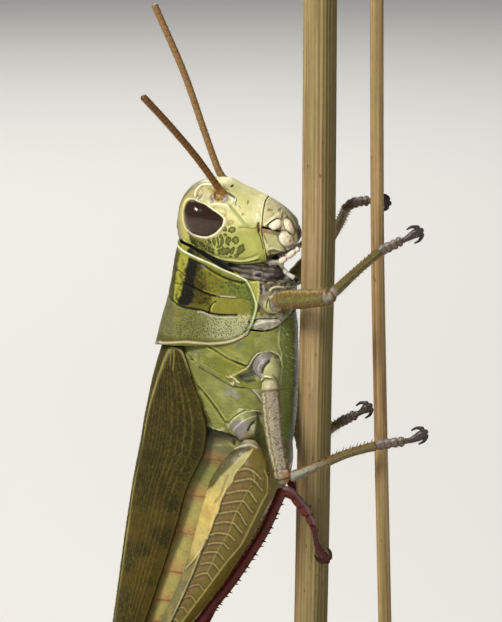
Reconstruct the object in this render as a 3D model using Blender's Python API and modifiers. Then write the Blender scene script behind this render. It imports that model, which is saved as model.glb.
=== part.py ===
"""Two-striped grasshopper: a still, life-size display model that climbs two cut grass stems on a stand.

The animal is upright: its head is up (+Z), its underside faces the stems (+X) and its right side
faces -Y. The origin is the centre of the base's underside. The figures below are millimetres, and
MM turns them into Blender's metres where a mesh is made. The last figures of a row that are not a
place are half sizes.
"""
import math

import bmesh
import bpy
import numpy as np
from mathutils import Matrix, Vector

MM = 0.001
GAP = 0.07  # clear space between two pieces that meet
SIDES = (("right", -1.0), ("left", 1.0))
CREASE = math.radians(40)  # edges sharper than this stay sharp

# --- stand and perch ------------------------------------------------------------------------
BASE_RADIUS = 19.0
BASE_HEIGHT = 4.0
BASE_BEVEL = 0.5
BASE_SIDES = 40
ROD_SIDES = 16
STEM_FOOT = 8.0  # height of the stems' cut lower ends
STEM_HEAD = 63.5  # height of their cut upper ends
STALK_ROUTE = [(2.25, -0.8, STEM_FOOT), (2.5, -0.8, 20.0), (2.68, -0.8, 34.0), (2.9, -0.8, 47.0),
               (2.92, -0.8, STEM_HEAD)]
STALK_RADIUS = 1.17
THIN_ROUTE = [(8.05, -0.5, STEM_FOOT), (7.7, -0.5, 20.0), (7.3, -0.5, 34.0), (7.02, -0.5, 46.0),
              (6.84, -0.5, STEM_HEAD)]
THIN_RADIUS = 0.47
ROD_RADIUS = {"stalk": 0.7, "thin": 0.32}

# --- head: x, back of the head, front of the head, half width ---------------------------------
HEAD = [(-7.30, 44.85, 45.90, 0.70), (-7.14, 44.32, 46.80, 1.25), (-6.70, 44.02, 47.60, 1.72),
        (-6.00, 43.78, 48.22, 2.10), (-5.00, 43.33, 48.56, 2.38), (-3.80, 42.85, 48.58, 2.52),
        (-2.60, 42.66, 48.08, 2.58), (-1.50, 42.76, 47.60, 2.48), (-0.95, 43.02, 47.36, 2.34),
        (-0.45, 43.42, 47.08, 2.15), (0.20, 43.70, 46.58, 1.86), (0.90, 43.94, 45.98, 1.42),
        (1.32, 44.20, 45.25, 0.85), (1.48, 44.48, 44.92, 0.40)]
HEAD_BACK_SHARE = 0.46  # of the depth, behind the widest line
HEAD_BACK_SQUARE = 4.4
HEAD_FRONT_SQUARE = 2.25
FACE_X = -0.92  # suture between the face and the mouthparts
LABRUM_X = 0.3
MANDIBLE_LINE = ((-0.92, 45.62), (0.3, 45.3))  # x, z on the line between clypeus and jaw
EYE_CENTRE = (-5.12, 1.72, 46.12)
EYE_REACH = [(0, 1.5), (30, 1.15), (60, 1.1), (90, 1.15), (120, 1.36), (142, 1.56), (165, 1.42),
             (195, 1.32), (225, 1.32), (255, 1.35), (285, 1.36), (315, 1.36), (345, 1.5)]
EYE_BULGE = 1.02
EYE_SEAT = 0.55  # how deep the eye sits inside its socket rim
ANTENNA_RIGHT = [(-3.75, -1.25, 47.55, 0.42), (-3.95, -1.45, 47.95, 0.34), (-4.25, -1.62, 48.35, 0.26),
                 (-5.35, -3.3, 50.6, 0.25), (-6.72, -6.0, 53.3, 0.25), (-7.95, -8.95, 55.75, 0.25)]
ANTENNA_LEFT = [(-3.80, 1.30, 47.62, 0.42), (-4.15, 1.42, 48.2, 0.34), (-4.62, 1.50, 48.66, 0.26),
                (-5.9, 2.2, 51.6, 0.25), (-7.4, 2.9, 55.4, 0.25), (-9.68, 3.5, 60.25, 0.25)]
UPPER_PALP = [(-0.75, 1.55, 43.12, 0.24), (0.05, 1.55, 43.20, 0.25), (0.75, 1.35, 43.48, 0.25),
              (1.22, 1.12, 43.72, 0.22)]
LOWER_PALP = [(-0.30, 1.00, 42.72, 0.24), (0.55, 1.15, 42.34, 0.25), (1.12, 1.10, 41.86, 0.24)]

# --- trunk: side-view edges as x, z; outlines as share of the length, x; widths as share, half width
NECK_FRONT = [(-3.8, 42.83), (-2.6, 42.63), (-1.3, 42.68), (0.4, 42.5)]
NECK_BACK = [(0, -3.6), (1, -3.6)]
NECK_BELLY = [(0, 0.1), (1, 0.3)]
NECK_WIDTH = [(0, 2.05), (1, 2.15)]
COLLAR = [(-7.3, 43.92), (-6.07, 43.66), (-4.94, 43.14), (-3.85, 42.58), (-2.41, 42.0), (-1.86, 41.7),
          (-0.6, 41.62), (1.2, 41.5)]
PRONOTUM_REAR = [(-8.95, 36.55), (-8.28, 36.95), (-6.93, 37.04), (-5.2, 37.13), (-4.1, 37.2),
                 (-2.68, 37.53), (-1.84, 37.97), (-1.66, 38.3), (-0.82, 38.22), (0.08, 38.42),
                 (0.7, 38.85), (1.2, 39.4)]
PRONOTUM_BACK = [(0, -7.2), (0.2, -7.52), (0.4, -7.76), (0.6, -8.06), (0.8, -8.5), (1, -8.92)]
PRONOTUM_HEM = [(0, -1.86), (0.25, -1.46), (0.47, -1.18), (0.7, -1.37), (1, -1.75)]
PRONOTUM_WIDTH = [(0, 2.58), (0.25, 2.75), (0.5, 2.86), (0.8, 3.06), (1, 3.2)]
PRONOTUM_SQUARE = 2.7
DISC_SHARE = 0.36  # of the pronotum's depth, above its side lobes
PROTHORAX_INSET = 0.1
PROTHORAX_BELLY = [(0, 0.75), (0.3, 1.12), (0.7, 1.12), (1, 1.05)]
PROTHORAX_WIDTH = [(0, 2.05), (0.4, 2.3), (1, 2.5)]
MIDDLE_SUTURE = [(-8.0, 36.0), (-5.93, 35.95), (-5.21, 35.72), (-4.13, 35.24), (-3.19, 34.66),
                 (-2.33, 34.3), (-1.25, 34.05), (0.6, 33.9), (1.3, 33.9)]
THORAX_END = [(-8.0, 31.6), (-6.0, 31.3), (-4.0, 30.9), (-2.0, 30.3), (0.0, 29.7), (1.3, 29.5)]
MESO_BACK = [(0, -7.75), (1, -7.85)]
MESO_BELLY = [(0, 1.08), (0.35, 1.26), (1, 1.28)]
MESO_WIDTH = [(0, 2.98), (0.4, 3.12), (1, 3.2)]
META_BACK = [(0, -7.85), (1, -7.6)]
META_BELLY = [(0, 1.28), (0.6, 1.12), (1, 0.92)]
META_WIDTH = [(0, 3.2), (0.5, 3.12), (1, 2.85)]
TRUNK_SQUARE = 2.6
ABDOMEN_START = 31.0
ABDOMEN_END = 12.6
ABDOMEN_RINGS = 9
ABDOMEN_BACK = [(12.6, -10.75), (14.0, -10.6), (18.0, -9.7), (22.0, -8.9), (26.0, -8.3), (31.6, -7.6)]
ABDOMEN_BELLY = [(12.6, -9.1), (13.5, -7.9), (15.0, -6.75), (17.0, -5.35), (19.0, -4.15), (21.0, -3.05),
                 (23.0, -1.95), (25.0, -0.95), (26.5, -0.2), (28.0, 0.45), (29.5, 0.88)]
ABDOMEN_WIDTH = [(12.6, 0.55), (14.0, 1.25), (17.0, 1.95), (21.0, 2.35), (26.0, 2.5), (31.6, 2.6)]
RING_STEP = 0.07  # how far a ring's hind edge stands over the next ring
RING_EDGE = 0.85  # share of a ring's length where it is widest
VALVES = {"upper": (-10.25, -0.45), "lower": (-9.55, 0.35)}  # x of the root, lean of the tip
VALVE_SHAPE = [(0.0, 0.42, 0.34), (0.45, 0.36, 0.28), (1.0, 0.2, 0.14)]  # share, half sizes
VALVE_LENGTH = 1.65
END_FAN = (0.35, 0.7)  # sizes of the rings that close a trunk piece's end

# --- wing covers: height, x of the crown, x of the front edge, half width -----------------------
WINGS = [(36.78, -8.35, -6.62, 2.75), (36.2, -8.52, -6.4, 2.95), (34.36, -9.08, -5.78, 3.08),
         (32.3, -9.55, -5.05, 3.16), (30.8, -9.85, -4.78, 3.18), (29.4, -10.08, -4.92, 3.16),
         (26.4, -10.65, -6.25, 3.08), (23.3, -11.15, -7.12, 2.95), (18.75, -11.8, -8.6, 2.5),
         (15.0, -12.35, -9.95, 2.1), (12.4, -12.72, -11.2, 1.75), (11.0, -12.92, -12.1, 1.45)]
WING_THICKNESS = 0.5
WING_SQUARE = 2.5
WING_OVERLAP = 0.45  # share of the half width, on the right, where the left cover's edge lies
WING_SPLIT = 0.05  # radians round the section between the two covers

# --- legs: x, y, z, half size across, half depth; y grows outwards from the animal's middle ------
FORE_COXA = [(-0.9, 1.7, 40.35, 0.75, 0.85), (-0.15, 2.45, 40.25, 0.68, 0.78),
             (0.22, 2.85, 40.4, 0.5, 0.6)]
MIDDLE_COXA = [(-0.9, 2.35, 36.0, 0.75, 0.95), (-0.35, 2.95, 35.35, 0.66, 0.8),
               (-0.2, 3.1, 34.75, 0.5, 0.6)]
HIND_COXA = [(-2.4, 2.4, 32.2, 0.8, 1.15), (-1.95, 3.2, 31.3, 0.68, 0.95),
             (-1.72, 3.5, 30.75, 0.5, 0.7)]
FORE_FEMUR = [(0.32, 3.0, 40.52, 0.5, 0.52), (0.9, 3.3, 40.7, 0.62, 0.66),
              (2.2, 3.95, 40.93, 0.64, 0.68), (3.5, 4.62, 41.2, 0.55, 0.6),
              (4.2, 4.9, 41.36, 0.55, 0.62), (4.55, 5.05, 41.46, 0.38, 0.42)]
FORE_TIBIA = [(4.62, 4.95, 41.72, 0.3, 0.34), (5.0, 4.6, 42.05, 0.32, 0.36),
              (5.6, 3.95, 42.6, 0.3, 0.33), (6.4, 3.05, 43.3, 0.27, 0.3),
              (7.28, 2.05, 44.0, 0.27, 0.31)]
FORE_FOOT = [(7.42, 1.9, 44.12, 0.27, 0.3), (7.8, 1.72, 44.3, 0.3, 0.36),
             (8.22, 1.6, 44.48, 0.26, 0.32), (8.62, 1.5, 44.7, 0.28, 0.34),
             (9.1, 1.42, 44.9, 0.25, 0.25), (9.75, 1.28, 45.3, 0.28, 0.36),
             (10.1, 1.2, 45.48, 0.2, 0.3)]
FORE_FEMUR_FAR = [(0.3, 3.0, 40.62, 0.5, 0.52), (0.75, 3.25, 41.05, 0.62, 0.66),
                  (1.5, 3.75, 41.85, 0.64, 0.68), (2.2, 4.25, 42.55, 0.55, 0.6),
                  (2.62, 4.5, 43.0, 0.55, 0.62), (2.78, 4.62, 43.25, 0.38, 0.42)]
FORE_TIBIA_FAR = [(2.92, 4.45, 43.52, 0.3, 0.34), (3.25, 3.95, 44.1, 0.32, 0.36),
                  (3.75, 3.1, 44.95, 0.3, 0.33), (4.2, 2.2, 45.8, 0.27, 0.3),
                  (4.55, 1.35, 46.5, 0.27, 0.31)]
FORE_FOOT_FAR = [(4.68, 1.12, 46.68, 0.27, 0.3), (5.1, 0.98, 46.92, 0.3, 0.36),
                 (5.55, 0.92, 47.06, 0.26, 0.32), (5.95, 0.9, 47.12, 0.28, 0.34),
                 (6.5, 0.9, 47.14, 0.25, 0.25), (7.15, 0.9, 47.12, 0.28, 0.36),
                 (7.5, 0.9, 47.02, 0.2, 0.3)]
MIDDLE_FEMUR = [(-0.2, 3.2, 34.6, 0.48, 0.52), (-0.1, 3.42, 33.9, 0.58, 0.64),
                (0.1, 3.85, 32.4, 0.6, 0.66), (0.38, 4.3, 30.7, 0.56, 0.6),
                (0.8, 4.62, 28.95, 0.5, 0.54), (1.02, 4.74, 28.2, 0.5, 0.56),
                (1.1, 4.78, 27.86, 0.34, 0.38)]
MIDDLE_TIBIA = [(1.62, 4.6, 28.18, 0.3, 0.33), (2.2, 4.32, 28.38, 0.32, 0.35),
                (3.5, 3.65, 28.85, 0.3, 0.33), (5.4, 2.65, 29.55, 0.27, 0.3),
                (7.15, 2.0, 29.98, 0.27, 0.31)]
MIDDLE_FOOT = [(7.35, 1.9, 30.02, 0.27, 0.3), (7.85, 1.72, 30.08, 0.3, 0.36),
               (8.4, 1.62, 30.18, 0.26, 0.32), (8.9, 1.52, 30.24, 0.28, 0.34),
               (9.5, 1.45, 30.34, 0.25, 0.25), (10.2, 1.32, 30.62, 0.28, 0.36),
               (10.58, 1.28, 30.92, 0.2, 0.3)]
MIDDLE_FEMUR_FAR = [(-0.2, 3.2, 34.6, 0.48, 0.52), (-0.1, 3.45, 33.8, 0.58, 0.64),
                    (0.15, 3.95, 32.0, 0.6, 0.66), (0.5, 4.5, 30.1, 0.56, 0.6),
                    (0.85, 4.9, 28.5, 0.5, 0.54), (1.02, 5.02, 27.7, 0.5, 0.56),
                    (1.1, 5.08, 27.35, 0.34, 0.38)]
MIDDLE_TIBIA_FAR = [(1.55, 4.7, 27.86, 0.3, 0.33), (1.95, 4.2, 28.3, 0.32, 0.35),
                    (2.6, 3.3, 29.1, 0.3, 0.33), (3.4, 2.1, 30.0, 0.27, 0.3),
                    (4.0, 1.25, 30.6, 0.27, 0.31)]
MIDDLE_FOOT_FAR = [(4.12, 1.1, 30.72, 0.27, 0.3), (4.5, 0.95, 30.98, 0.3, 0.36),
                   (4.9, 0.9, 31.2, 0.26, 0.32), (5.25, 0.88, 31.4, 0.28, 0.34),
                   (5.65, 0.86, 31.62, 0.25, 0.25), (6.05, 0.86, 31.9, 0.28, 0.36),
                   (6.3, 0.86, 32.1, 0.2, 0.3)]
HIND_FEMUR = [(-1.52, 3.72, 30.26, 0.42, 0.55), (-1.58, 4.12, 29.3, 0.78, 1.4),
              (-1.83, 4.38, 28.0, 0.92, 1.98), (-2.24, 4.5, 26.6, 1.0, 2.22),
              (-3.1, 4.56, 24.3, 1.0, 2.05), (-4.05, 4.56, 22.0, 0.9, 1.7),
              (-5.09, 4.5, 19.85, 0.76, 1.38), (-6.13, 4.4, 18.1, 0.66, 1.12),
              (-7.26, 4.3, 16.3, 0.58, 0.88), (-8.4, 4.22, 14.5, 0.55, 0.74),
              (-9.2, 4.16, 13.15, 0.66, 0.92), (-9.75, 4.12, 12.25, 0.6, 0.84),
              (-10.05, 4.1, 11.7, 0.3, 0.42)]
HIND_TIBIA = [(-8.1, 4.1, 12.5, 0.32, 0.4), (-7.55, 4.08, 13.3, 0.28, 0.36),
              (-4.3, 3.95, 18.0, 0.27, 0.34), (-2.98, 3.85, 19.75, 0.27, 0.34),
              (-1.45, 3.7, 22.15, 0.28, 0.34), (-0.4, 3.55, 24.0, 0.28, 0.34),
              (0.38, 3.35, 25.9, 0.3, 0.35), (0.68, 3.2, 26.65, 0.34, 0.38)]
HIND_FOOT = [(0.78, 3.12, 26.72, 0.3, 0.34), (1.25, 2.98, 26.5, 0.3, 0.38),
             (1.75, 2.82, 25.95, 0.27, 0.34), (2.2, 2.68, 25.3, 0.28, 0.38),
             (2.62, 2.55, 24.55, 0.25, 0.27), (2.95, 2.42, 23.5, 0.25, 0.25),
             (3.12, 2.35, 22.5, 0.25, 0.27), (3.5, 2.32, 21.8, 0.28, 0.36),
             (3.78, 2.3, 21.5, 0.2, 0.28)]
HIND_FOOT_FAR = [(-0.28, 3.05, 26.35, 0.3, 0.34), (0.2, 2.55, 26.1, 0.3, 0.38),
                 (0.75, 2.0, 25.5, 0.27, 0.34), (1.2, 1.5, 24.8, 0.28, 0.38),
                 (1.55, 1.1, 24.0, 0.25, 0.27), (1.8, 0.9, 23.0, 0.25, 0.25),
                 (1.95, 0.88, 22.0, 0.25, 0.27), (2.1, 0.88, 21.2, 0.28, 0.36),
                 (2.2, 0.88, 20.85, 0.2, 0.28)]
FAR_HIND_SWING = -2.5  # degrees that the left hind femur lies closer to the back than the right
HIP = (-1.6, 3.5, 30.5)
FAR_ANKLE = (-0.5, 3.09, 26.03)  # end of the left hind tibia, beside its foot
FEMUR_SIDES = 10
SHIN_SIDES = 8
FOOT_SIDES = 6
CLAW_LENGTH = 0.85
CLAW_SPREAD = 0.62
CLAW_RADIUS = 0.13
CLAW_SEAT = 0.13  # how deep a claw starts inside the foot
CLAW_HOOK = [(0.03, 0.0, 1.0), (0.55, 0.22, 0.85), (0.95, -0.15, 0.6), (1.0, -0.7, 0.3)]
SPINE_COUNT = 9  # in each of two rows
SPINE_SPAN = 0.94  # share of the tibia that carries them
SPINE_LENGTH = 0.42
SPINE_RADIUS = 0.11
SPINE_TIP = 0.03
SPINE_SEAT = 0.2  # from the tibia's middle to the spine's foot
SPINE_LEAN = 0.45  # towards the foot
SPINE_SPLAY = 0.6  # away from the other row

PAINT = {  # colour, roughness, metallic
    "head_shell": ((0.60, 0.60, 0.28), 0.38, 0), "eye": ((0.035, 0.02, 0.012), 0.1, 0),
    "mouth_shell": ((0.72, 0.66, 0.42), 0.4, 0), "membrane": ((0.22, 0.2, 0.16), 0.6, 0),
    "antenna": ((0.24, 0.10, 0.03), 0.5, 0), "palp": ((0.75, 0.68, 0.58), 0.45, 0),
    "pronotum_shell": ((0.22, 0.23, 0.06), 0.5, 0), "thorax_shell": ((0.40, 0.38, 0.14), 0.45, 0),
    "abdomen_shell": ((0.34, 0.33, 0.12), 0.5, 0), "wing": ((0.07, 0.06, 0.015), 0.5, 0),
    "walking_leg": ((0.22, 0.18, 0.09), 0.45, 0), "hind_femur": ((0.26, 0.21, 0.06), 0.42, 0),
    "hind_tibia": ((0.16, 0.02, 0.012), 0.35, 0), "grass": ((0.38, 0.26, 0.12), 0.7, 0),
    "stand_wood": ((0.10, 0.055, 0.03), 0.4, 0), "stand_metal": ((0.55, 0.52, 0.46), 0.3, 1),
}


# --- curves -----------------------------------------------------------------------------------
def profile(rows):
    """A smooth curve through rows of (place, value) that never overshoots them."""
    at, value = np.array(rows, float).T
    step = np.diff(at)
    rise = np.diff(value) / step
    slope = np.zeros(len(at))
    turning = rise[:-1] * rise[1:] <= 0
    mean = 2 * rise[:-1] * rise[1:] / np.where(turning, 1, rise[:-1] + rise[1:])
    slope[1:-1] = np.where(turning, 0, mean)
    slope[0], slope[-1] = rise[0], rise[-1]

    def read(place):
        place = np.clip(place, at[0], at[-1])
        low = np.clip(np.searchsorted(at, place) - 1, 0, len(step) - 1)
        u = (place - at[low]) / step[low]
        ends = value[low] * (1 + 2 * u) * (1 - u) ** 2 + value[low + 1] * u * u * (3 - 2 * u)
        return ends + step[low] * (slope[low] * u * (1 - u) ** 2 - slope[low + 1] * u * u * (1 - u))

    return read


def power(value, exponent):
    """A signed power, for super-ellipses."""
    return np.sign(value) * np.abs(value) ** exponent


def smooth_rows(rows, steps):
    """Rows of numbers resampled on a smooth curve through them, with steps pieces to each gap."""
    table = np.array(rows, float)
    place = np.arange(len(table))
    fine = np.linspace(0, len(table) - 1, (len(table) - 1) * steps + 1)
    return np.stack([profile(list(zip(place, column)))(fine) for column in table.T], axis=1)


# --- meshes -----------------------------------------------------------------------------------
def collection(name):
    found = bpy.data.collections.new(name)
    bpy.context.scene.collection.children.link(found)
    return found


def material(name):
    if name in bpy.data.materials:
        return bpy.data.materials[name]
    colour, roughness, metallic = PAINT[name]
    made = bpy.data.materials.new(name)
    made.use_nodes = True
    shader = made.node_tree.nodes["Principled BSDF"]
    shader.inputs["Base Color"].default_value = (*colour, 1)
    shader.inputs["Roughness"].default_value = roughness
    shader.inputs["Metallic"].default_value = metallic
    return made


def add_object(name, shape, paint=None, group="grasshopper"):
    made = bpy.data.objects.new(name, shape)
    bpy.data.collections[group].objects.link(made)
    if paint:
        shape.materials.clear()
        shape.materials.append(material(paint))
    return made


def finish_mesh(bm, name):
    """Turns a bmesh in millimetres into a mesh in metres with its faces pointing out."""
    bmesh.ops.recalc_face_normals(bm, faces=bm.faces)
    bmesh.ops.scale(bm, vec=(MM, MM, MM), verts=bm.verts)
    mesh = bpy.data.meshes.new(name)
    bm.to_mesh(mesh)
    bm.free()
    mesh.shade_smooth()
    mesh.set_sharp_from_angle(angle=CREASE)
    return mesh


def loft(name, rings, paint=None, group="grasshopper"):
    """A closed solid through rings of equally many points; its two ends are fans round a centre."""
    bm = bmesh.new()
    rows = [[bm.verts.new(point) for point in ring] for ring in rings]
    for low, high in zip(rows, rows[1:]):
        for i in range(len(low)):
            j = (i + 1) % len(low)
            bm.faces.new((low[i], low[j], high[j], high[i]))
    for row in (rows[0], rows[-1]):
        centre = bm.verts.new(sum((v.co for v in row), Vector()) / len(row))
        for i in range(len(row)):
            bm.faces.new((row[i], row[(i + 1) % len(row)], centre))
    bmesh.ops.triangulate(bm, faces=[face for face in bm.faces if len(face.verts) > 3])
    return add_object(name, finish_mesh(bm, name), paint, group)


def limb(name, stations, paint=None, sides=8, steps=1, group="grasshopper"):
    """A bent, tapering rod through stations of x, y, z, half size across (towards Y), half depth."""
    rows = smooth_rows(stations, steps)
    points = rows[:, :3]
    along = np.gradient(points, axis=0)
    along /= np.linalg.norm(along, axis=1)[:, None]
    across = np.array([0.0, 1.0, 0.0]) - along * along[:, 1:2]
    across /= np.linalg.norm(across, axis=1)[:, None]
    deep = np.cross(along, across)
    turn = np.arange(sides) * 2 * math.pi / sides
    rings = []
    for k, row in enumerate(rows):
        sideways = np.outer(np.cos(turn) * row[3], across[k])
        rings.append(points[k] + sideways + np.outer(np.sin(turn) * row[-1], deep[k]))
    return loft(name, rings, paint, group)


def mirrored(stations, side):
    """Stations on the animal's right (side -1) or left (side 1)."""
    return [(row[0], row[1] * side, *row[2:]) for row in stations]


def baked(made):
    """Applies an object's modifiers and drops them."""
    graph = bpy.context.evaluated_depsgraph_get()
    mesh = bpy.data.meshes.new_from_object(made.evaluated_get(graph))
    mesh.name = made.name
    made.modifiers.clear()
    made.data = mesh
    return made


def combine(made, others, operation):
    """Cuts the others from an object, or joins them to it, and removes them."""
    for other in others:
        change = made.modifiers.new(operation, "BOOLEAN")
        change.operation = operation
        change.object = other
        change.solver = "EXACT"
    baked(made)
    for other in others:
        bpy.data.objects.remove(other)
    return made


def grown_copy(made, margin):
    """A cutter that is the object with its surface moved out by a margin."""
    mesh = made.data.copy()
    bm = bmesh.new()
    bm.from_mesh(mesh)
    bm.normal_update()
    shifts = [vertex.normal * margin * MM for vertex in bm.verts]
    for vertex, shift in zip(bm.verts, shifts):
        vertex.co += shift
    bm.to_mesh(mesh)
    bm.free()
    cutter = add_object(made.name + "_cutter", mesh, group="cutters")
    cutter.hide_render = True
    cutter.display_type = "WIRE"
    return cutter


def fit_against(made, *neighbours):
    """Trims an object so that it only just clears the neighbours it meets."""
    return combine(made, [grown_copy(other, GAP) for other in neighbours], "DIFFERENCE")


def slice_off(made, point, normal):
    """Keeps the part of a solid behind a plane and closes the cut."""
    bm = bmesh.new()
    bm.from_mesh(made.data)
    place = Vector(point) * MM
    everything = [*bm.verts, *bm.edges, *bm.faces]
    cut = bmesh.ops.bisect_plane(bm, geom=everything, plane_co=place, plane_no=normal, clear_outer=True)
    edges = [item for item in cut["geom_cut"] if isinstance(item, bmesh.types.BMEdge)]
    bmesh.ops.holes_fill(bm, edges=edges, sides=0)
    bmesh.ops.triangulate(bm, faces=[face for face in bm.faces if len(face.verts) > 3])
    bmesh.ops.dissolve_degenerate(bm, edges=bm.edges, dist=1e-7)
    bm.to_mesh(made.data)
    bm.free()
    return made


# --- head -------------------------------------------------------------------------------------
def head_rings(sides=20):
    turn = np.arange(sides) * 2 * math.pi / sides
    rings = []
    for x, back, front, width in HEAD:
        middle = back + (front - back) * HEAD_BACK_SHARE
        rise = np.sin(turn)
        square = np.where(rise > 0, HEAD_FRONT_SQUARE, HEAD_BACK_SQUARE)
        z = middle + np.where(rise > 0, front - middle, middle - back) * power(rise, 2 / square)
        y = width * power(np.cos(turn), 2 / square)
        rings.append(np.stack([np.full(sides, x), y, z], axis=1))
    return rings


def eye_rings(side, sides=16, levels=4):
    """A domed, pear-shaped eye: its outline is a reach at each angle, its section a quarter oval."""
    turn = np.arange(sides) * 360 / sides
    reach = profile([*EYE_REACH, (360, EYE_REACH[0][1])])(turn)
    seat = [(0.72, -EYE_SEAT), (1.0, 0.0)]
    dome = [(math.cos(a), math.sin(a)) for a in np.linspace(0, math.pi / 2, levels + 1)[1:-1]]
    rings = []
    for spread, lift in [*seat, *dome, (0.12, 0.995)]:
        x = EYE_CENTRE[0] + spread * reach * np.cos(np.radians(turn))
        z = EYE_CENTRE[2] + spread * reach * np.sin(np.radians(turn))
        y = np.full(sides, side * (EYE_CENTRE[1] + EYE_BULGE * lift))
        rings.append(np.stack([x, y, z], axis=1))
    return rings


def head_piece(name, planes, paint):
    piece = loft(name, head_rings(), paint)
    for point, normal in planes:
        slice_off(piece, point, normal)
    return piece


def make_head():
    """The capsule, the lips and the jaws are one form, parted along the real sutures."""
    eyes = [loft(f"eye_{word}", eye_rings(side), "eye") for word, side in SIDES]
    half = GAP / 2
    head = head_piece("head", [((FACE_X - half, 0, 0), (1, 0, 0))], "head_shell")
    fit_against(head, *eyes)
    behind_face = ((FACE_X + half, 0, 0), (-1, 0, 0))
    (x0, z0), (x1, z1) = MANDIBLE_LINE
    up = Vector((z0 - z1, 0, x1 - x0)).normalized()
    line = Vector((x0, 0, z0))
    front_half = (line + up * half, -up)
    above_lip = ((LABRUM_X - half, 0, 0), (1, 0, 0))
    head_piece("clypeus", [behind_face, front_half, above_lip], "mouth_shell")
    head_piece("labrum", [((LABRUM_X + half, 0, 0), (-1, 0, 0))], "mouth_shell")
    for word, side in SIDES:
        middle = ((0, side * half, 0), (0, -side, 0))
        jaw = [behind_face, above_lip, (line - up * half, up), middle]
        head_piece(f"mandible_{word}", jaw, "mouth_shell")
    return head


def make_feelers(head, neck):
    for word, stations in (("right", ANTENNA_RIGHT), ("left", ANTENNA_LEFT)):
        feeler = limb(f"antenna_{word}", stations, "antenna", sides=6, steps=2)
        fit_against(feeler, head)
    jaws = [bpy.data.objects[f"mandible_{word}"] for word, _ in SIDES]
    lip = bpy.data.objects["labrum"]
    for word, side in SIDES:
        upper = limb(f"maxillary_palp_{word}", mirrored(UPPER_PALP, side), "palp", sides=6)
        fit_against(upper, head, lip, *jaws)
        lower = limb(f"labial_palp_{word}", mirrored(LOWER_PALP, side), "palp", sides=6)
        fit_against(lower, head, neck, lip, *jaws, upper)


# --- trunk ------------------------------------------------------------------------------------
def barrel_section(sides):
    """Shares across the depth and the width of a rounded-square section, from the back round."""
    turn = (np.arange(sides) + 0.5) * 2 * math.pi / sides
    return 0.5 - 0.5 * power(np.cos(turn), 2 / TRUNK_SQUARE), power(np.sin(turn), 2 / TRUNK_SQUARE)


def saddle_section(disc=5, lobe=5):
    """Shares of a section with a crowned back and two flat side lobes, open below."""
    turn = np.linspace(0, math.pi / 2, disc + 1)[1:]
    down = np.linspace(0, 1, lobe + 1)[1:]
    depth = np.concatenate([DISC_SHARE * (1 - np.cos(turn) ** (2 / PRONOTUM_SQUARE)),
                            DISC_SHARE + (1 - DISC_SHARE) * down])
    width = np.concatenate([np.sin(turn) ** (2 / PRONOTUM_SQUARE), 1 - 0.07 * down ** 2])
    return (np.concatenate([depth[::-1], [0], depth]), np.concatenate([-width[::-1], [0], width]))


def sleeve(name, paint, section, back, belly, width, top, bottom, levels):
    """A trunk piece between two edges seen from the side, with ends that follow those edges."""
    depth_share, width_share = section
    back, belly, width = profile(back), profile(belly), profile(width)
    rings = []

    def ring(share, shrink=1.0):
        rear, fore = float(back(share)), float(belly(share))
        x = rear + (fore - rear) * depth_share
        y = float(width(share)) * width_share
        x = x.mean() + (x - x.mean()) * shrink
        y = y * shrink
        z = top(x) + (bottom(x) - top(x)) * share
        rings.append(np.stack([x, y, z], axis=1))

    for shrink in END_FAN:
        ring(0, shrink)
    for share in np.linspace(0, 1, levels):
        ring(share)
    for shrink in reversed(END_FAN):
        ring(1, shrink)
    return loft(name, rings, paint)


def lowered(rows, drop=GAP):
    edge = profile(rows)
    return lambda x: edge(x) - drop


def make_pronotum():
    return sleeve("pronotum", "pronotum_shell", saddle_section(), PRONOTUM_BACK, PRONOTUM_HEM,
                  PRONOTUM_WIDTH, profile(COLLAR), profile(PRONOTUM_REAR), 8)


def make_neck():
    return sleeve("neck", "membrane", barrel_section(16), NECK_BACK, NECK_BELLY, NECK_WIDTH,
                  lowered(NECK_FRONT), lowered(COLLAR, -GAP), 2)


def make_prothorax(pronotum):
    """The floor of the first segment, which carries the front legs below the pronotum's hem."""
    hem = [(share, x + PROTHORAX_INSET) for share, x in PRONOTUM_HEM]
    piece = sleeve("prothorax", "thorax_shell", barrel_section(14), hem, PROTHORAX_BELLY,
                   PROTHORAX_WIDTH, lowered(COLLAR, GAP), lowered(PRONOTUM_REAR, -GAP), 4)
    return fit_against(piece, pronotum)


def make_thorax():
    meso = sleeve("mesothorax", "thorax_shell", barrel_section(20), MESO_BACK, MESO_BELLY, MESO_WIDTH,
                  lowered(PRONOTUM_REAR, 3 * GAP), profile(MIDDLE_SUTURE), 4)
    meta = sleeve("metathorax", "thorax_shell", barrel_section(20), META_BACK, META_BELLY, META_WIDTH,
                  lowered(MIDDLE_SUTURE), profile(THORAX_END), 4)
    return meso, meta


def make_abdomen():
    """Rings that overlap like tiles; the first follows the slanting end of the thorax."""
    depth_share, width_share = barrel_section(16)
    back, belly, width = profile(ABDOMEN_BACK), profile(ABDOMEN_BELLY), profile(ABDOMEN_WIDTH)
    top = lowered(THORAX_END)
    levels = []
    for ring in range(ABDOMEN_RINGS):
        levels += [(ring / ABDOMEN_RINGS, 0.0), ((ring + RING_EDGE) / ABDOMEN_RINGS, RING_STEP)]
    levels.append((1.0, 0.0))
    rings = []

    def ring_at(share, swell, shrink=1.0):
        height = ABDOMEN_START + (ABDOMEN_END - ABDOMEN_START) * share
        rear, fore = float(back(height)) - swell, float(belly(height)) + swell
        x = rear + (fore - rear) * depth_share
        x = x.mean() + (x - x.mean()) * shrink
        y = (float(width(height)) + swell) * width_share * shrink
        z = top(x) + (ABDOMEN_END - top(x)) * share
        rings.append(np.stack([x, y, z], axis=1))

    for shrink in END_FAN:
        ring_at(0, 0, shrink)
    for share, swell in levels:
        ring_at(share, swell)
    return loft("abdomen", rings, "abdomen_shell")


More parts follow.
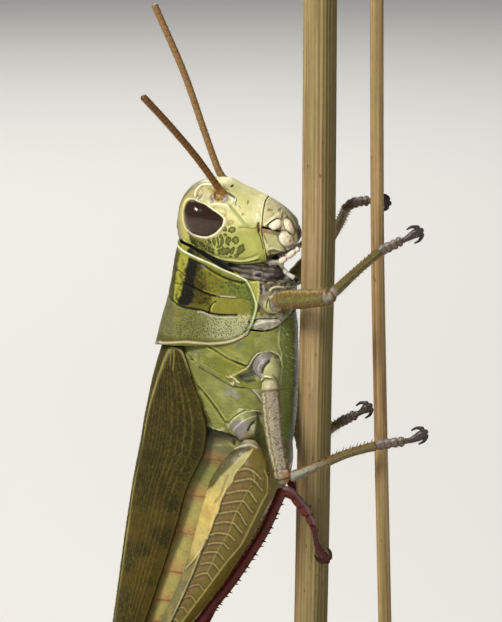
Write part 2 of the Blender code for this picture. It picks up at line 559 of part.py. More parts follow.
def make_egg_valves():
    """The female's four short valves, as an upper and a lower pair."""
    start = ABDOMEN_END - GAP
    for word, (x, lean) in VALVES.items():
        stations = [
            (x + lean * share ** 2, 0, start - VALVE_LENGTH * share, across, deep)
            for share, across, deep in VALVE_SHAPE
        ]
        limb(f"ovipositor_{word}", stations, "abdomen_shell")


# --- wings ------------------------------------------------------------------------------------
def wing_ring(row, side, start):
    """One section of a wing cover: out along its face and back along its inside."""
    height, crown, front, width = row
    turn = np.linspace(start, math.pi / 2, 8)
    skin = []
    for thick, angles in ((0, turn), (WING_THICKNESS, turn[::-1])):
        x = crown + thick + (front - crown - thick) * (1 - np.cos(angles) ** (2 / WING_SQUARE))
        y = side * (width - thick) * power(np.sin(angles), 2 / WING_SQUARE)
        skin.append(np.stack([x, y, np.full(len(angles), height)], axis=1))
    return np.concatenate(skin)


def make_wings():
    """The left cover lies over the right one, so its inner edge shows to the right of the middle."""
    edge = math.asin(WING_OVERLAP ** (WING_SQUARE / 2))
    right = loft("tegmen_right", [wing_ring(row, -1, edge + WING_SPLIT) for row in WINGS], "wing")
    left = loft("tegmen_left", [wing_ring(row, 1, WING_SPLIT - edge) for row in WINGS], "wing")
    return right, left


# --- legs -------------------------------------------------------------------------------------
def claw_stations(tip, spread, curl):
    """A claw that leaves the foot's end sideways and hooks back along curl."""
    start = Vector(tip) - curl * CLAW_SEAT
    rows = []
    for out, along, size in CLAW_HOOK:
        point = start + spread * CLAW_SPREAD * out + curl * CLAW_LENGTH * along
        rows.append((*point, CLAW_RADIUS * size, CLAW_RADIUS * size))
    return rows


def make_foot(name, stations, paint):
    """Pads, a long last segment and two claws that hook back in the leg's plane."""
    foot = limb(name, stations, paint, sides=FOOT_SIDES)
    end = Vector(stations[-1][:3])
    curl = (end - Vector(stations[-3][:3])).normalized()
    out = Vector((0, 1, 0)).cross(curl).normalized()
    claws = [
        limb(f"{name}_claw", claw_stations(end, out * way, curl), sides=4, group="cutters")
        for way in (-1.0, 1.0)
    ]
    return combine(foot, claws, "UNION")


def make_leg(label, parts, paints, neighbours):
    """Coxa, femur, tibia and tarsus, each trimmed against what carries it."""
    previous = neighbours
    for (part, stations), paint in zip(parts, paints):
        if part == "tarsus":
            piece = make_foot(f"{label}_tarsus", stations, paint)
        else:
            sides = FEMUR_SIDES if part == "femur" else SHIN_SIDES
            piece = limb(f"{label}_{part}", stations, paint, sides)
        previous = [fit_against(piece, *previous)]


def swung(stations, degrees):
    """Stations turned about the hip, seen from the side."""
    turn = Matrix.Rotation(math.radians(degrees), 4, "Y")
    hip = Vector(HIP)
    return [(*(hip + turn @ (Vector(row[:3]) - hip)), *row[3:]) for row in stations]


def far_hind_tibia():
    """From under the swung left knee to the left foot, as thick as the right tibia."""
    knee = Vector(swung(HIND_TIBIA, FAR_HIND_SWING)[0][:3])
    span = len(HIND_TIBIA) - 1
    return [(*knee.lerp(Vector(FAR_ANKLE), k / span), *row[3:]) for k, row in enumerate(HIND_TIBIA)]


def add_spines(word, stations):
    """Two rows of spines on the rear edge of a hind tibia, joined to it."""
    tibia = bpy.data.objects[f"hind_{word}_tibia"]
    points = [Vector(row[:3]) for row in smooth_rows(stations[1:], SPINE_COUNT)]
    spines = []
    for k in range(SPINE_COUNT):
        place = int((k + 0.5) / SPINE_COUNT * SPINE_SPAN * len(points))
        along = (points[place + 1] - points[place - 1]).normalized()
        rear = along.cross(Vector((0, -1, 0))).normalized()
        for row in (-1, 1):
            lean = (rear + along * SPINE_LEAN + Vector((0, row * SPINE_SPLAY, 0))).normalized()
            foot = points[place] + lean * SPINE_SEAT
            tip = foot + lean * SPINE_LENGTH
            rows = [(*foot, SPINE_RADIUS, SPINE_RADIUS), (*tip, SPINE_TIP, SPINE_TIP)]
            spines.append(limb(f"spine_{word}_{row}_{k}", rows, sides=3, group="cutters"))
    combine(tibia, spines, "UNION")


def make_legs(prothorax, pronotum, meso, meta):
    walking = ["walking_leg"] * 4
    jumping = ["thorax_shell", "hind_femur", "hind_tibia", "hind_tibia"]
    plans = {
        "right": ((FORE_FEMUR, FORE_TIBIA, FORE_FOOT), (MIDDLE_FEMUR, MIDDLE_TIBIA, MIDDLE_FOOT),
                  (HIND_FEMUR, HIND_TIBIA, HIND_FOOT)),
        "left": ((FORE_FEMUR_FAR, FORE_TIBIA_FAR, FORE_FOOT_FAR),
                 (MIDDLE_FEMUR_FAR, MIDDLE_TIBIA_FAR, MIDDLE_FOOT_FAR),
                 (swung(HIND_FEMUR, FAR_HIND_SWING), far_hind_tibia(), HIND_FOOT_FAR)),
    }
    carriers = ((prothorax, pronotum), (meso, meta), (meta,))
    coxae = (FORE_COXA, MIDDLE_COXA, HIND_COXA)
    for word, side in SIDES:
        for pair, coxa, rows, carrier in zip(("fore", "middle", "hind"), coxae, plans[word], carriers):
            names = ("coxa", "femur", "tibia", "tarsus")
            parts = [(name, mirrored(row, side)) for name, row in zip(names, (coxa, *rows))]
            paints = jumping if pair == "hind" else walking
            make_leg(f"{pair}_{word}", parts, paints, carrier)
        add_spines(word, mirrored(plans[word][2][1], side))


# --- perch and stand --------------------------------------------------------------------------
def add_stem(name, route, radius, roundness):
    """A cut length of dry grass stem, as a bevelled curve with its ends filled."""
    curve = bpy.data.curves.new(name, "CURVE")
    curve.dimensions = "3D"
    curve.bevel_depth = radius * MM
    curve.bevel_resolution = roundness
    curve.use_fill_caps = True
    spline = curve.splines.new("POLY")
    spline.points.add(len(route) - 1)
    for point, place in zip(spline.points, route):
        point.co = (*(Vector(place) * MM), 1)
    add_object(name, curve, "grass")


def add_cylinder(name, centre, radius, low, high, paint, sides):
    bpy.ops.mesh.primitive_cylinder_add(vertices=sides, radius=radius * MM, depth=(high - low) * MM)
    made = bpy.context.active_object
    for owner in list(made.users_collection):
        owner.objects.unlink(made)
    bpy.data.collections["grasshopper"].objects.link(made)
    made.name = name
    made.location = Vector((*centre[:2], (low + high) / 2)) * MM
    made.data.materials.append(material(paint))
    made.data.shade_smooth()
    made.data.set_sharp_from_angle(angle=CREASE)
    return made


def make_stand():
    base = add_cylinder("stand_base", (0, 0), BASE_RADIUS, 0, BASE_HEIGHT, "stand_wood", BASE_SIDES)
    edge = base.modifiers.new("edge", "BEVEL")
    edge.width = BASE_BEVEL * MM
    edge.segments = 1
    edge.limit_method = "ANGLE"
    for word, route in (("stalk", STALK_ROUTE), ("thin", THIN_ROUTE)):
        add_cylinder(f"stand_rod_{word}", route[0], ROD_RADIUS[word], BASE_HEIGHT + GAP, STEM_FOOT - GAP,
                     "stand_metal", ROD_SIDES)


def main():
    for made in list(bpy.data.objects):
        bpy.data.objects.remove(made)
    collection("grasshopper")
    collection("cutters").hide_render = True
    head = make_head()
    pronotum = make_pronotum()
    make_feelers(head, make_neck())
    prothorax = make_prothorax(pronotum)
    meso, meta = make_thorax()
    wings = make_wings()
    fit_against(meso, *wings)
    fit_against(meta, *wings)
    fit_against(make_abdomen(), *wings)
    make_egg_valves()
    make_legs(prothorax, pronotum, meso, meta)
    add_stem("stalk", STALK_ROUTE, STALK_RADIUS, 4)
    add_stem("thin_stem", THIN_ROUTE, THIN_RADIUS, 2)
    make_stand()


main()
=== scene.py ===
"""Dresses the grasshopper display model with fine surfaces, markings, hairs, light and a camera.

Shapes are worked out in millimetres in the CAD frame: the head is up (+Z), the underside and the
stems are at +X and the animal's right side is at -Y. MM turns them into Blender's metres. A feature
on the body is a short route of x, y, z points, with y outwards, and appears on both sides.
"""
import itertools
import math

import bpy
import numpy as np
from mathutils import Matrix, Vector


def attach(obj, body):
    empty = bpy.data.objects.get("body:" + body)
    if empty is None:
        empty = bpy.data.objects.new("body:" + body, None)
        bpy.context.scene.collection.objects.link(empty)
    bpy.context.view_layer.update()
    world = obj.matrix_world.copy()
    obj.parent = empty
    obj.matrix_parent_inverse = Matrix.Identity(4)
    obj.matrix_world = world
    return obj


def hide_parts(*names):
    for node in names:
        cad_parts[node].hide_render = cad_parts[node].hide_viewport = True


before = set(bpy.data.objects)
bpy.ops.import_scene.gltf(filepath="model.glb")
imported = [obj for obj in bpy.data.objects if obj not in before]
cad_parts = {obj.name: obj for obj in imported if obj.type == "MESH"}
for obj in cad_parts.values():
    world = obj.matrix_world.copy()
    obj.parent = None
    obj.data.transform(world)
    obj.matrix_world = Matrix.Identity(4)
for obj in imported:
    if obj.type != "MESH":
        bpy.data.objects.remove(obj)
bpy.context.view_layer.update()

MM = 0.001
SIDES = (("right", -1.0), ("left", 1.0))

# --- forms, as in the CAD ---------------------------------------------------------------------
STALK_ROUTE = [(2.25, -0.8, 8.0), (2.5, -0.8, 20.0), (2.68, -0.8, 34.0), (2.9, -0.8, 47.0),
               (2.92, -0.8, 63.5)]
THIN_ROUTE = [(8.05, -0.5, 8.0), (7.7, -0.5, 20.0), (7.3, -0.5, 34.0), (7.02, -0.5, 46.0), (6.84, -0.5, 63.5)]
HEAD = [(-7.30, 44.85, 45.90, 0.70), (-7.14, 44.32, 46.80, 1.25), (-6.70, 44.02, 47.60, 1.72),
        (-6.00, 43.78, 48.22, 2.10), (-5.00, 43.33, 48.56, 2.38), (-3.80, 42.85, 48.58, 2.52),
        (-2.60, 42.66, 48.08, 2.58), (-1.50, 42.76, 47.60, 2.48), (-0.95, 43.02, 47.36, 2.34),
        (-0.45, 43.42, 47.08, 2.15), (0.20, 43.70, 46.58, 1.86), (0.90, 43.94, 45.98, 1.42),
        (1.32, 44.20, 45.25, 0.85), (1.48, 44.48, 44.92, 0.40)]
HEAD_BACK_SHARE, HEAD_BACK_SQUARE, HEAD_FRONT_SQUARE = 0.46, 4.4, 2.25
FACE_X, LABRUM_X, SUTURE = -0.92, 0.3, 0.035
EYE_CENTRE = (-5.12, 46.12)
EYE_REACH = [(0, 1.5), (24, 1.08), (45, 0.9), (63, 0.88), (85, 0.96), (105, 1.08), (128, 1.46), (143, 1.6),
             (160, 1.54), (190, 1.45), (217, 1.47), (235, 1.38), (260, 1.28), (300, 1.3), (326, 1.36),
             (346, 1.47), (360, 1.5)]
EYE_TOP = 2.74


# --- numbers ----------------------------------------------------------------------------------
def profile(rows):
    """A smooth curve through rows of (place, value) that never overshoots them."""
    at, value = np.array(rows, float).T
    step = np.diff(at)
    rise = np.diff(value) / step
    slope = np.zeros(len(at))
    turning = rise[:-1] * rise[1:] <= 0
    mean = 2 * rise[:-1] * rise[1:] / np.where(turning, 1, rise[:-1] + rise[1:])
    slope[1:-1] = np.where(turning, 0, mean)
    slope[0], slope[-1] = rise[0], rise[-1]

    def read(place):
        place = np.clip(place, at[0], at[-1])
        low = np.clip(np.searchsorted(at, place) - 1, 0, len(step) - 1)
        u = (place - at[low]) / step[low]
        ends = value[low] * (1 + 2 * u) * (1 - u) ** 2 + value[low + 1] * u * u * (3 - 2 * u)
        return ends + step[low] * (slope[low] * u * (1 - u) ** 2 - slope[low + 1] * u * u * (1 - u))

    return read


def power(value, exponent):
    """A power of the size of a value, with its sign kept."""
    return np.sign(value) * np.abs(value) ** exponent


def smooth_rows(rows, count):
    """Rows resampled on a smooth curve through them, count of them at even distances."""
    table = np.array(rows, float)
    place = np.arange(len(table))
    fine = np.linspace(0, len(table) - 1, 40 * (len(table) - 1) + 1)
    curves = [profile(list(zip(place, column))) for column in table.T]
    points = np.stack([curve(fine) for curve in curves], axis=1)
    length = np.concatenate([[0], np.cumsum(np.linalg.norm(np.diff(points[:, :3], axis=0), axis=1))])
    even = np.interp(np.linspace(0, length[-1], count), length, fine)
    return np.stack([curve(even) for curve in curves], axis=1)


def ramp(value, low, high):
    """0 below low, 1 above high, smooth between; low may be the greater."""
    t = np.clip((value - low) / (high - low), 0, 1)
    return t * t * (3 - 2 * t)


def bump(value, width):
    """1 where a value is 0, falling to 0 within about two widths on either side."""
    return np.exp(-(value / width) ** 2)


def shifted(route, *offset):
    """A route moved by an offset."""
    return [tuple(value + move for value, move in zip(point, offset)) for point in route]


def lattice(cell, salt):
    """A repeatable random value from 0 to 1 for each whole-number cell."""
    key = cell[..., 0] * 73856093 ^ cell[..., 1] * 19349663 ^ cell[..., 2] * 83492791 ^ salt * 2654435761
    key = (key ^ key >> 13) * 1274126177 & 0x7FFFFFFF
    key = (key ^ key >> 11) * 668265263 & 0x7FFFFFFF
    return (key >> 7 & 0xFFFF) / 65535.0


def noise(points, size, salt=1):
    """Smooth random values from -1 to 1, with lumps of a size in mm."""
    place = points / size
    cell = np.floor(place).astype(np.int64)
    t = place - cell
    t = t * t * (3 - 2 * t)
    total = 0
    for corner in itertools.product((0, 1), repeat=3):
        weight = np.prod(np.where(np.array(corner) == 1, t, 1 - t), axis=-1)
        total = total + weight * lattice(cell + np.array(corner), salt)
    return total * 2 - 1


def cells(points, size, salt=1):
    """Distances, in cell sizes, to the nearest and the second nearest of scattered points."""
    place = points / size
    cell = np.floor(place).astype(np.int64)
    first = np.full(points.shape[:-1], 9.0)
    second = first.copy()
    for offset in itertools.product((-1, 0, 1), repeat=3):
        near = cell + np.array(offset)
        seed = near + np.stack([lattice(near, salt + k) for k in range(3)], axis=-1)
        distance = np.linalg.norm(place - seed, axis=-1)
        second = np.minimum(second, np.maximum(first, distance))
        first = np.minimum(first, distance)
    return first, second


def linear(colour):
    """Linear light for a screen colour of 0 to 255."""
    share = np.array(colour, float) / 255
    return np.where(share <= 0.04045, share / 12.92, ((share + 0.055) / 1.055) ** 2.4)


# --- skins: grids of points with colours --------------------------------------------------------
class Skin:
    """Rings of points round a form, in mm, each with a colour; routes and spots shape and paint it."""

    def __init__(self, points, colour):
        self.points = np.array(points, float)
        self.tint = np.ones_like(self.points) * linear(colour)

    @property
    def x(self):
        return self.points[..., 0]

    @property
    def y(self):
        """Distance from the middle plane, the same on both sides."""
        return np.abs(self.points[..., 1])

    @property
    def z(self):
        return self.points[..., 2]

    def normals(self):
        """Outward unit vectors at the points."""
        along = np.gradient(self.points, axis=0)
        around = np.roll(self.points, -1, axis=1) - np.roll(self.points, 1, axis=1)
        found = np.cross(along, around)
        found /= np.linalg.norm(found, axis=-1, keepdims=True) + 1e-12
        outward = self.points - self.points.mean(axis=1, keepdims=True)
        return found * np.sign((found * outward).sum())

    def noise(self, size, salt=1, squash=1.0):
        """Random values from -1 to 1 over the surface; a squash below 1 draws the lumps out upwards."""
        return noise(self.points * (1, 1, squash), size, salt)

    def cloud(self, size, salt, low, high, squash=1.0):
        """Random clouds: 0 where the noise is below low, 1 where it is above high."""
        return ramp(self.noise(size, salt, squash), low, high)

    def push(self, amount):
        """Moves the surface outwards by an amount in mm."""
        self.points += self.normals() * np.broadcast_to(amount, self.x.shape)[..., None]

    def paint(self, mask, colour):
        """Mixes a colour in, by a mask from 0 to 1."""
        share = np.clip(np.broadcast_to(mask, self.x.shape), 0, 1)[..., None]
        self.tint += (linear(colour) - self.tint) * share

    def shade(self, value, low, high, share, colour):
        """Mixes in a share of a colour where a value lies towards high, none where it is below low."""
        self.paint(ramp(value, low, high) * share, colour)

    def roughen(self, *rows):
        """Fine relief: a row is its height and the size of its lumps, in mm, and a salt."""
        self.push(sum(height * self.noise(size, salt) for height, size, salt in rows))

    def settle(self, route):
        """A route moved onto the surface; points of just x and z are looked for on the flank."""
        line = np.array(route, float)
        spots = np.stack([self.x, self.y, self.z], axis=-1).reshape(-1, 3)
        normals = self.normals().reshape(-1, 3)
        normals[:, 1] *= np.where(self.points[..., 1] < 0, -1, 1).ravel()
        flat = line.shape[1] == 2
        if flat:
            line = np.insert(line, 1, 0.0, axis=1)
        reach = (np.abs(spots[:, ::2] - line[:, ::2].mean(axis=0)) < np.ptp(line[:, ::2], axis=0) / 2 + 0.6)
        chosen = reach.all(axis=1)
        if flat:
            chosen &= normals[:, 1] > 0.1
        if not chosen.any():
            return line
        spots, normals = spots[chosen], normals[chosen]
        weight = np.array([1.0, 0.0 if flat else 1.0, 1.0])
        for k, point in enumerate(line):
            found = (((spots - point) * weight) ** 2).sum(axis=1).argmin()
            if flat:
                line[k, 1] = spots[found, 1]
            else:
                line[k] -= normals[found] * ((point - spots[found]) @ normals[found])
        return line

    def distance(self, route, limit=9.0):
        """Distance in mm from each point to a route over the surface, or to a single spot."""
        spots = np.stack([self.x, self.y, self.z], axis=-1)
        line = self.settle(route)
        close = ((spots > line.min(axis=0) - limit) & (spots < line.max(axis=0) + limit)).all(axis=-1)
        chosen = spots[close]
        best = np.full(len(chosen), 99.0)
        ends = line[1:] if len(line) > 1 else line
        for start, end in zip(line, ends):
            span = end - start
            share = np.clip((chosen - start) @ span / max(span @ span, 1e-9), 0, 1)
            best = np.minimum(best, np.linalg.norm(chosen - start - share[:, None] * span, axis=1))
        result = np.full(self.x.shape, 99.0)
        result[close] = best
        return result

    def near(self, route, width):
        """1 on a route and 0 away from it."""
        return bump(self.distance(route, width * 3), width)

    def draw(self, *rows):
        """Lines: a row is a route, width, height (below zero for a groove), colour and its share."""
        for route, width, height, colour, share in rows:
            mask = self.near(curve(route), width)
            self.push(height * mask)
            self.paint(mask * share, colour)

    def dab(self, *rows, ragged=0.12):
        """Spots: a row is x, z, half length, half height, lean, colour and its share."""
        wobble = ragged * self.noise(0.14, 5) + 0.5 * ragged * self.noise(0.06, 6)
        for x, z, across, high, lean, colour, share in rows:
            reach = self.oval((x, z), across, high, lean) + wobble
            self.paint(ramp(reach, 1.1, 0.92) * share, colour)

    def oval(self, centre, across, high, lean=0.0):
        """Distance from an oval's centre in the side view, 1 on its edge; lean is in degrees."""
        dx, dz = self.x - centre[0], self.z - centre[1]
        c, s = math.cos(math.radians(lean)), math.sin(math.radians(lean))
        return np.hypot((dx * c + dz * s) / across, (dz * c - dx * s) / high)

    def patch(self, centre, across, high, lean=0.0):
        """1 inside an oval in the side view, fading over its edge."""
        return ramp(self.oval(centre, across, high, lean), 1.12, 0.88)

    def band(self, left, right, blur=0.06, ragged=0.0, salt=3):
        """1 between two lines of x, z points in the side view."""
        x = self.x + ragged * (self.noise(0.35, salt) + 0.6 * self.noise(0.12, salt + 1))
        edges = []
        for line in (left, right):
            rows = np.array(sorted(line, key=lambda point: point[1]))
            edges.append(np.interp(self.z, rows[:, 1], rows[:, 0]))
            edges.append(rows[:, 1])
        low = max(edges[1].min(), edges[3].min())
        high = min(edges[1].max(), edges[3].max())
        tall = ramp(self.z, low - blur, low + blur) * ramp(self.z, high + blur, high - blur)
        return tall * ramp(x - edges[0], -blur, blur) * ramp(edges[2] - x, -blur, blur)

    def beyond(self, line, axis="z", blur=0.05):
        """1 below a line of x, z points (or left of it, by axis x), in the side view."""
        rows = np.array(sorted(line, key=lambda point: point[0 if axis == "z" else 1]))
        if axis == "z":
            return ramp(np.interp(self.x, rows[:, 0], rows[:, 1]) - self.z, -blur, blur)
        return ramp(np.interp(self.z, rows[:, 1], rows[:, 0]) - self.x, -blur, blur)

    def paint_relief_shading(self, strength=0.22, depth=0.025, passes=7):
        """Painted shade in the hollows and painted highlight on the ridges: darker in the hollows, paler on
        the ridges.
        """
        smooth = self.points.copy()
        for _ in range(passes):
            smooth[1:-1] = (smooth[:-2] + 2 * smooth[1:-1] + smooth[2:]) / 4
            smooth = (np.roll(smooth, 1, axis=1) + 2 * smooth + np.roll(smooth, -1, axis=1)) / 4
        rise = ((self.points - smooth) * self.normals()).sum(axis=-1) / depth
        self.tint *= (1 + strength * np.clip(rise, -1.6, 1.0))[..., None]
        return self

    def mottle(self, size, strength, salt=1):
        """Lighter and darker clouds."""
        self.tint *= (1 + strength * self.noise(size, salt))[..., None]
        return self


def curve(route, step=0.12):
    """A smooth route through a few points."""
    if len(route) < 3:
        return np.array(route, float)
    table = np.array(route, float)
    length = np.linalg.norm(np.diff(table, axis=0), axis=1).sum()
    wide = table if table.shape[1] > 2 else np.insert(table, 1, 0.0, axis=1)
    found = smooth_rows(wide, max(3, int(length / step)))
    return found if table.shape[1] > 2 else found[:, ::2]


def even(points, sides):
    """Rings with another number of points, spread evenly from each ring's first point."""
    result = np.empty((len(points), sides, 3))
    for k, ring in enumerate(points):
        closed = np.vstack([ring, ring[:1]])
        length = np.concatenate([[0], np.cumsum(np.linalg.norm(np.diff(closed, axis=0), axis=1))])
        place = np.linspace(0, length[-1], sides, endpoint=False)
        result[k] = np.stack([np.interp(place, length, column) for column in closed.T], axis=1)
    return result


def with_ends(points, start=(), end=()):
    """Adds end rings: each is a share of the last ring's size and a shift outwards in mm."""
    first, last = points[0], points[-1]
    out = points[0].mean(axis=0) - points[1].mean(axis=0)
    down = points[-1].mean(axis=0) - points[-2].mean(axis=0)
    out, down = out / np.linalg.norm(out), down / np.linalg.norm(down)
    head = [first.mean(axis=0) + (first - first.mean(axis=0)) * size + out * shift for size, shift in start]
    tail = [last.mean(axis=0) + (last - last.mean(axis=0)) * size + down * shift for size, shift in end]
    return np.array([*head[::-1], *points, *tail])


def domed(radius, rings=4):
    """End rings for a rounded end."""
    return [(math.cos(a), math.sin(a) * radius) for a in np.linspace(0, math.pi / 2, rings + 2)[1:-1]]


HOLLOW = ((0.985, 0.02), (0.95, 0.0), (0.92, -0.12), (0.9, -0.4), (0.4, -0.5))
FLAT = ((0.99, 0.03), (0.94, 0.05), (0.6, 0.06))


# --- pieces -------------------------------------------------------------------------------------
HAIR_POINTS = 300  # a skin of no more points than this shares the map's corner strip
MAP_EDGE, MAIN_EDGE, MAP_GAP = 0.97, 0.8, 0.01  # right edges of the large boxes on the texture map
PATCH_STEP, PATCH_SIZE, PATCHES_ACROSS = 0.004, 0.003, 6
DARKEST = 0.0005  # no painted colour is darker than this, in linear light


def unwrap(skins):
    """Boxes u, v, u, v of the texture map: the first skin, other large ones, and a corner patch per hair."""
    large = [skin.x.size > HAIR_POINTS for skin in skins]
    side = sum(large[1:])
    main = MAIN_EDGE if side else MAP_EDGE
    boxes, shelf, small = [], 0, 0
    for order, big in enumerate(large):
        if order == 0:
            boxes.append((0.0, 0.0, main, 1.0))
        elif big:
            boxes.append((main + MAP_GAP, shelf / side, MAP_EDGE, (shelf + 0.95) / side))
            shelf += 1
        else:
            u = MAP_EDGE + 0.005 + PATCH_STEP * (small % PATCHES_ACROSS)
            v = PATCH_STEP * (small // PATCHES_ACROSS)
            boxes.append((u, v, u + PATCH_SIZE, v + PATCH_SIZE))
            small += 1
    return boxes


def join(name, skins, slot, material, nodes):
    """Makes one piece of some skins, each closed with a fan at both ends, and fits it in the frame."""
    verts, quads, triangles, tints, quad_maps, fan_maps = [], [], [], [], [], []
    base = 0
    for skin, box in zip(skins, unwrap(skins)):
        rows, sides = skin.x.shape
        index = np.arange(rows * sides).reshape(rows, sides)
        turned = np.roll(index, -1, axis=1)
        quad = np.stack([index[:-1], index[1:], turned[1:], turned[:-1]], axis=-1).reshape(-1, 4)
        caps = [skin.points[0].mean(axis=0), skin.points[-1].mean(axis=0)]
        first = np.stack([index[0], turned[0], np.full(sides, rows * sides)], axis=-1)
        last = np.stack([turned[-1], index[-1], np.full(sides, rows * sides + 1)], axis=-1)
        fans = np.vstack([first, last])
        u = np.linspace(box[0], box[2], sides + 1)
        v = np.linspace(box[1], box[3], rows + 2)
        across, up = np.meshgrid(u, v[1:-1])
        grid = np.stack([across, up], axis=-1)
        corners = [grid[:-1, :-1], grid[1:, :-1], grid[1:, 1:], grid[:-1, 1:]]
        quad_map = np.stack(corners, axis=2).reshape(-1, 4, 2)
        tops = [np.stack([(u[:-1] + u[1:]) / 2, np.full(sides, v[k])], axis=-1) for k in (0, -1)]
        fan_map = np.vstack([np.stack([grid[0, :-1], grid[0, 1:], tops[0]], axis=1),
                             np.stack([grid[-1, 1:], grid[-1, :-1], tops[1]], axis=1)])
        points = np.vstack([skin.points.reshape(-1, 3), caps])
        middle = points.mean(axis=0)
        a, b, c = (points[quad[:, k]] - middle for k in (0, 1, 2))
        if (np.cross(b - a, c - a) * a).sum() < 0:
            quad, fans, quad_map, fan_map = quad[:, ::-1], fans[:, ::-1], quad_map[:, ::-1], fan_map[:, ::-1]
        verts.append(points)
        quads.append(quad + base)
        triangles.append(fans + base)
        quad_maps.append(quad_map.reshape(-1, 2))
        fan_maps.append(fan_map.reshape(-1, 2))
        tints.append(np.vstack([skin.tint.reshape(-1, 3), skin.tint[0].mean(axis=0),
                                skin.tint[-1].mean(axis=0)]))
        base += len(points)
    faces = [*np.vstack(quads).tolist(), *np.vstack(triangles).tolist()]
    mesh = bpy.data.meshes.new(name)
    mesh.from_pydata((np.vstack(verts) * MM).tolist(), [], faces)
    mesh.shade_smooth()
    mesh.uv_layers.new(name="OFBake").data.foreach_set("uv", np.vstack([*quad_maps, *fan_maps]).ravel())
    tint = mesh.color_attributes.new("tint", "FLOAT_COLOR", "POINT")
    colours = np.clip(np.vstack(tints), DARKEST, 1)
    tint.data.foreach_set("color", np.hstack([colours, np.ones((len(colours), 1))]).ravel())
    dress(bpy.data.objects.new(name, mesh), slot, material, nodes)


def dress(piece, slot, material, nodes):
    """Fits a piece in the frame, in the place of some of the CAD's nodes."""
    bpy.context.scene.collection.objects.link(piece)
    piece.data.materials.append(material)
    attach(piece, "root")
    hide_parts(*nodes)


def limb(stations, count, sides, colour, ends=True):
    """A bent, tapering rod; a station is x, y, z, half size across (towards Y), half depth."""
    rows = smooth_rows(stations, count)
    along = np.gradient(rows[:, :3], axis=0)
    along /= np.linalg.norm(along, axis=1)[:, None]
    across = np.array([0.0, 1.0, 0.0]) - along * along[:, 1:2]
    across /= np.linalg.norm(across, axis=1)[:, None]
    deep = np.cross(along, across)
    turn = np.arange(sides) * 2 * math.pi / sides
    reach = rows[:, None, :3] + across[:, None] * (np.cos(turn) * rows[:, 3:4])[..., None]
    points = reach + deep[:, None] * (np.sin(turn) * rows[:, -1:])[..., None]
    if ends:
        points = with_ends(points, domed(rows[0, 3] * 0.6), domed(rows[-1, 3] * 0.6))
    return Skin(points, colour)


def places(skin, extra=4):
    """For a limb with domed ends: share along it, and its sideways and depthways shares."""
    rows, sides = skin.x.shape
    share = np.clip((np.arange(rows) - extra) / (rows - 1 - 2 * extra), 0, 1)[:, None] * np.ones(sides)
    turn = np.arange(sides) * 2 * math.pi / sides * np.ones((rows, 1))
    return share, np.cos(turn), np.sin(turn)


def counts(side, *full):
    """Mesh counts: full on the side the camera sees, 0.7 of them on the far side."""
    return [count if side < 0 else int(0.7 * count) for count in full]


def sized(places, sizes):
    """Stations of a limb: each place with its half size, or its half sizes across and deep."""
    return [(*place, *size) for place, size in zip(places, sizes)]


def mirrored(stations, side):
    """Stations of the right or the left side from those given with y outwards."""
    return [(row[0], row[1] * side, *row[2:]) for row in stations]


def cone(foot, tip, radius, colour, sides=4, point=0.15):
    """A slender tapering spine or hair, closed at both ends."""
    foot, tip = np.array(foot, float), np.array(tip, float)
    along = (tip - foot) / np.linalg.norm(tip - foot)
    across = np.cross(along, (0.31, 0.9, 0.3))
    across /= np.linalg.norm(across)
    deep = np.cross(along, across)
    turn = np.arange(sides) * 2 * math.pi / sides
    circle = np.outer(np.cos(turn), across) + np.outer(np.sin(turn), deep)
    steps = ((0.0, 1.0), (0.5, 0.75), (0.97, point))
    return Skin([foot + (tip - foot) * far + circle * radius * size for far, size in steps], colour)


def fuzz(skin, count, length, colour, lean=(0, 0, 0), salt=1, mask=1.0, radius=0.014):
    """Short fine hairs on a skin, denser where the mask is high, leaning one way."""
    chance = np.broadcast_to(mask, skin.x.shape) * 1.0
    rows, sides = chance.shape
    grid = np.stack(np.meshgrid(np.arange(rows), np.arange(sides), indexing="ij") + [0 * skin.x], axis=-1)
    order = lattice(grid.astype(np.int64), salt) / np.maximum(chance, 1e-6)
    order[:4], order[-4:] = 1e9, 1e9
    chosen = np.argsort(order.ravel(), kind="stable")[:count]
    feet = skin.points.reshape(-1, 3)[chosen]
    ways = skin.normals().reshape(-1, 3)[chosen] + np.array(lean)
    ways /= np.linalg.norm(ways, axis=1)[:, None]
    spread = lattice(grid.astype(np.int64), salt + 7).ravel()[chosen]
    return [cone(foot - way * 0.02, foot + way * length * (0.6 + 0.7 * random), radius, colour, 3)
            for foot, way, random in zip(feet, ways, spread)]


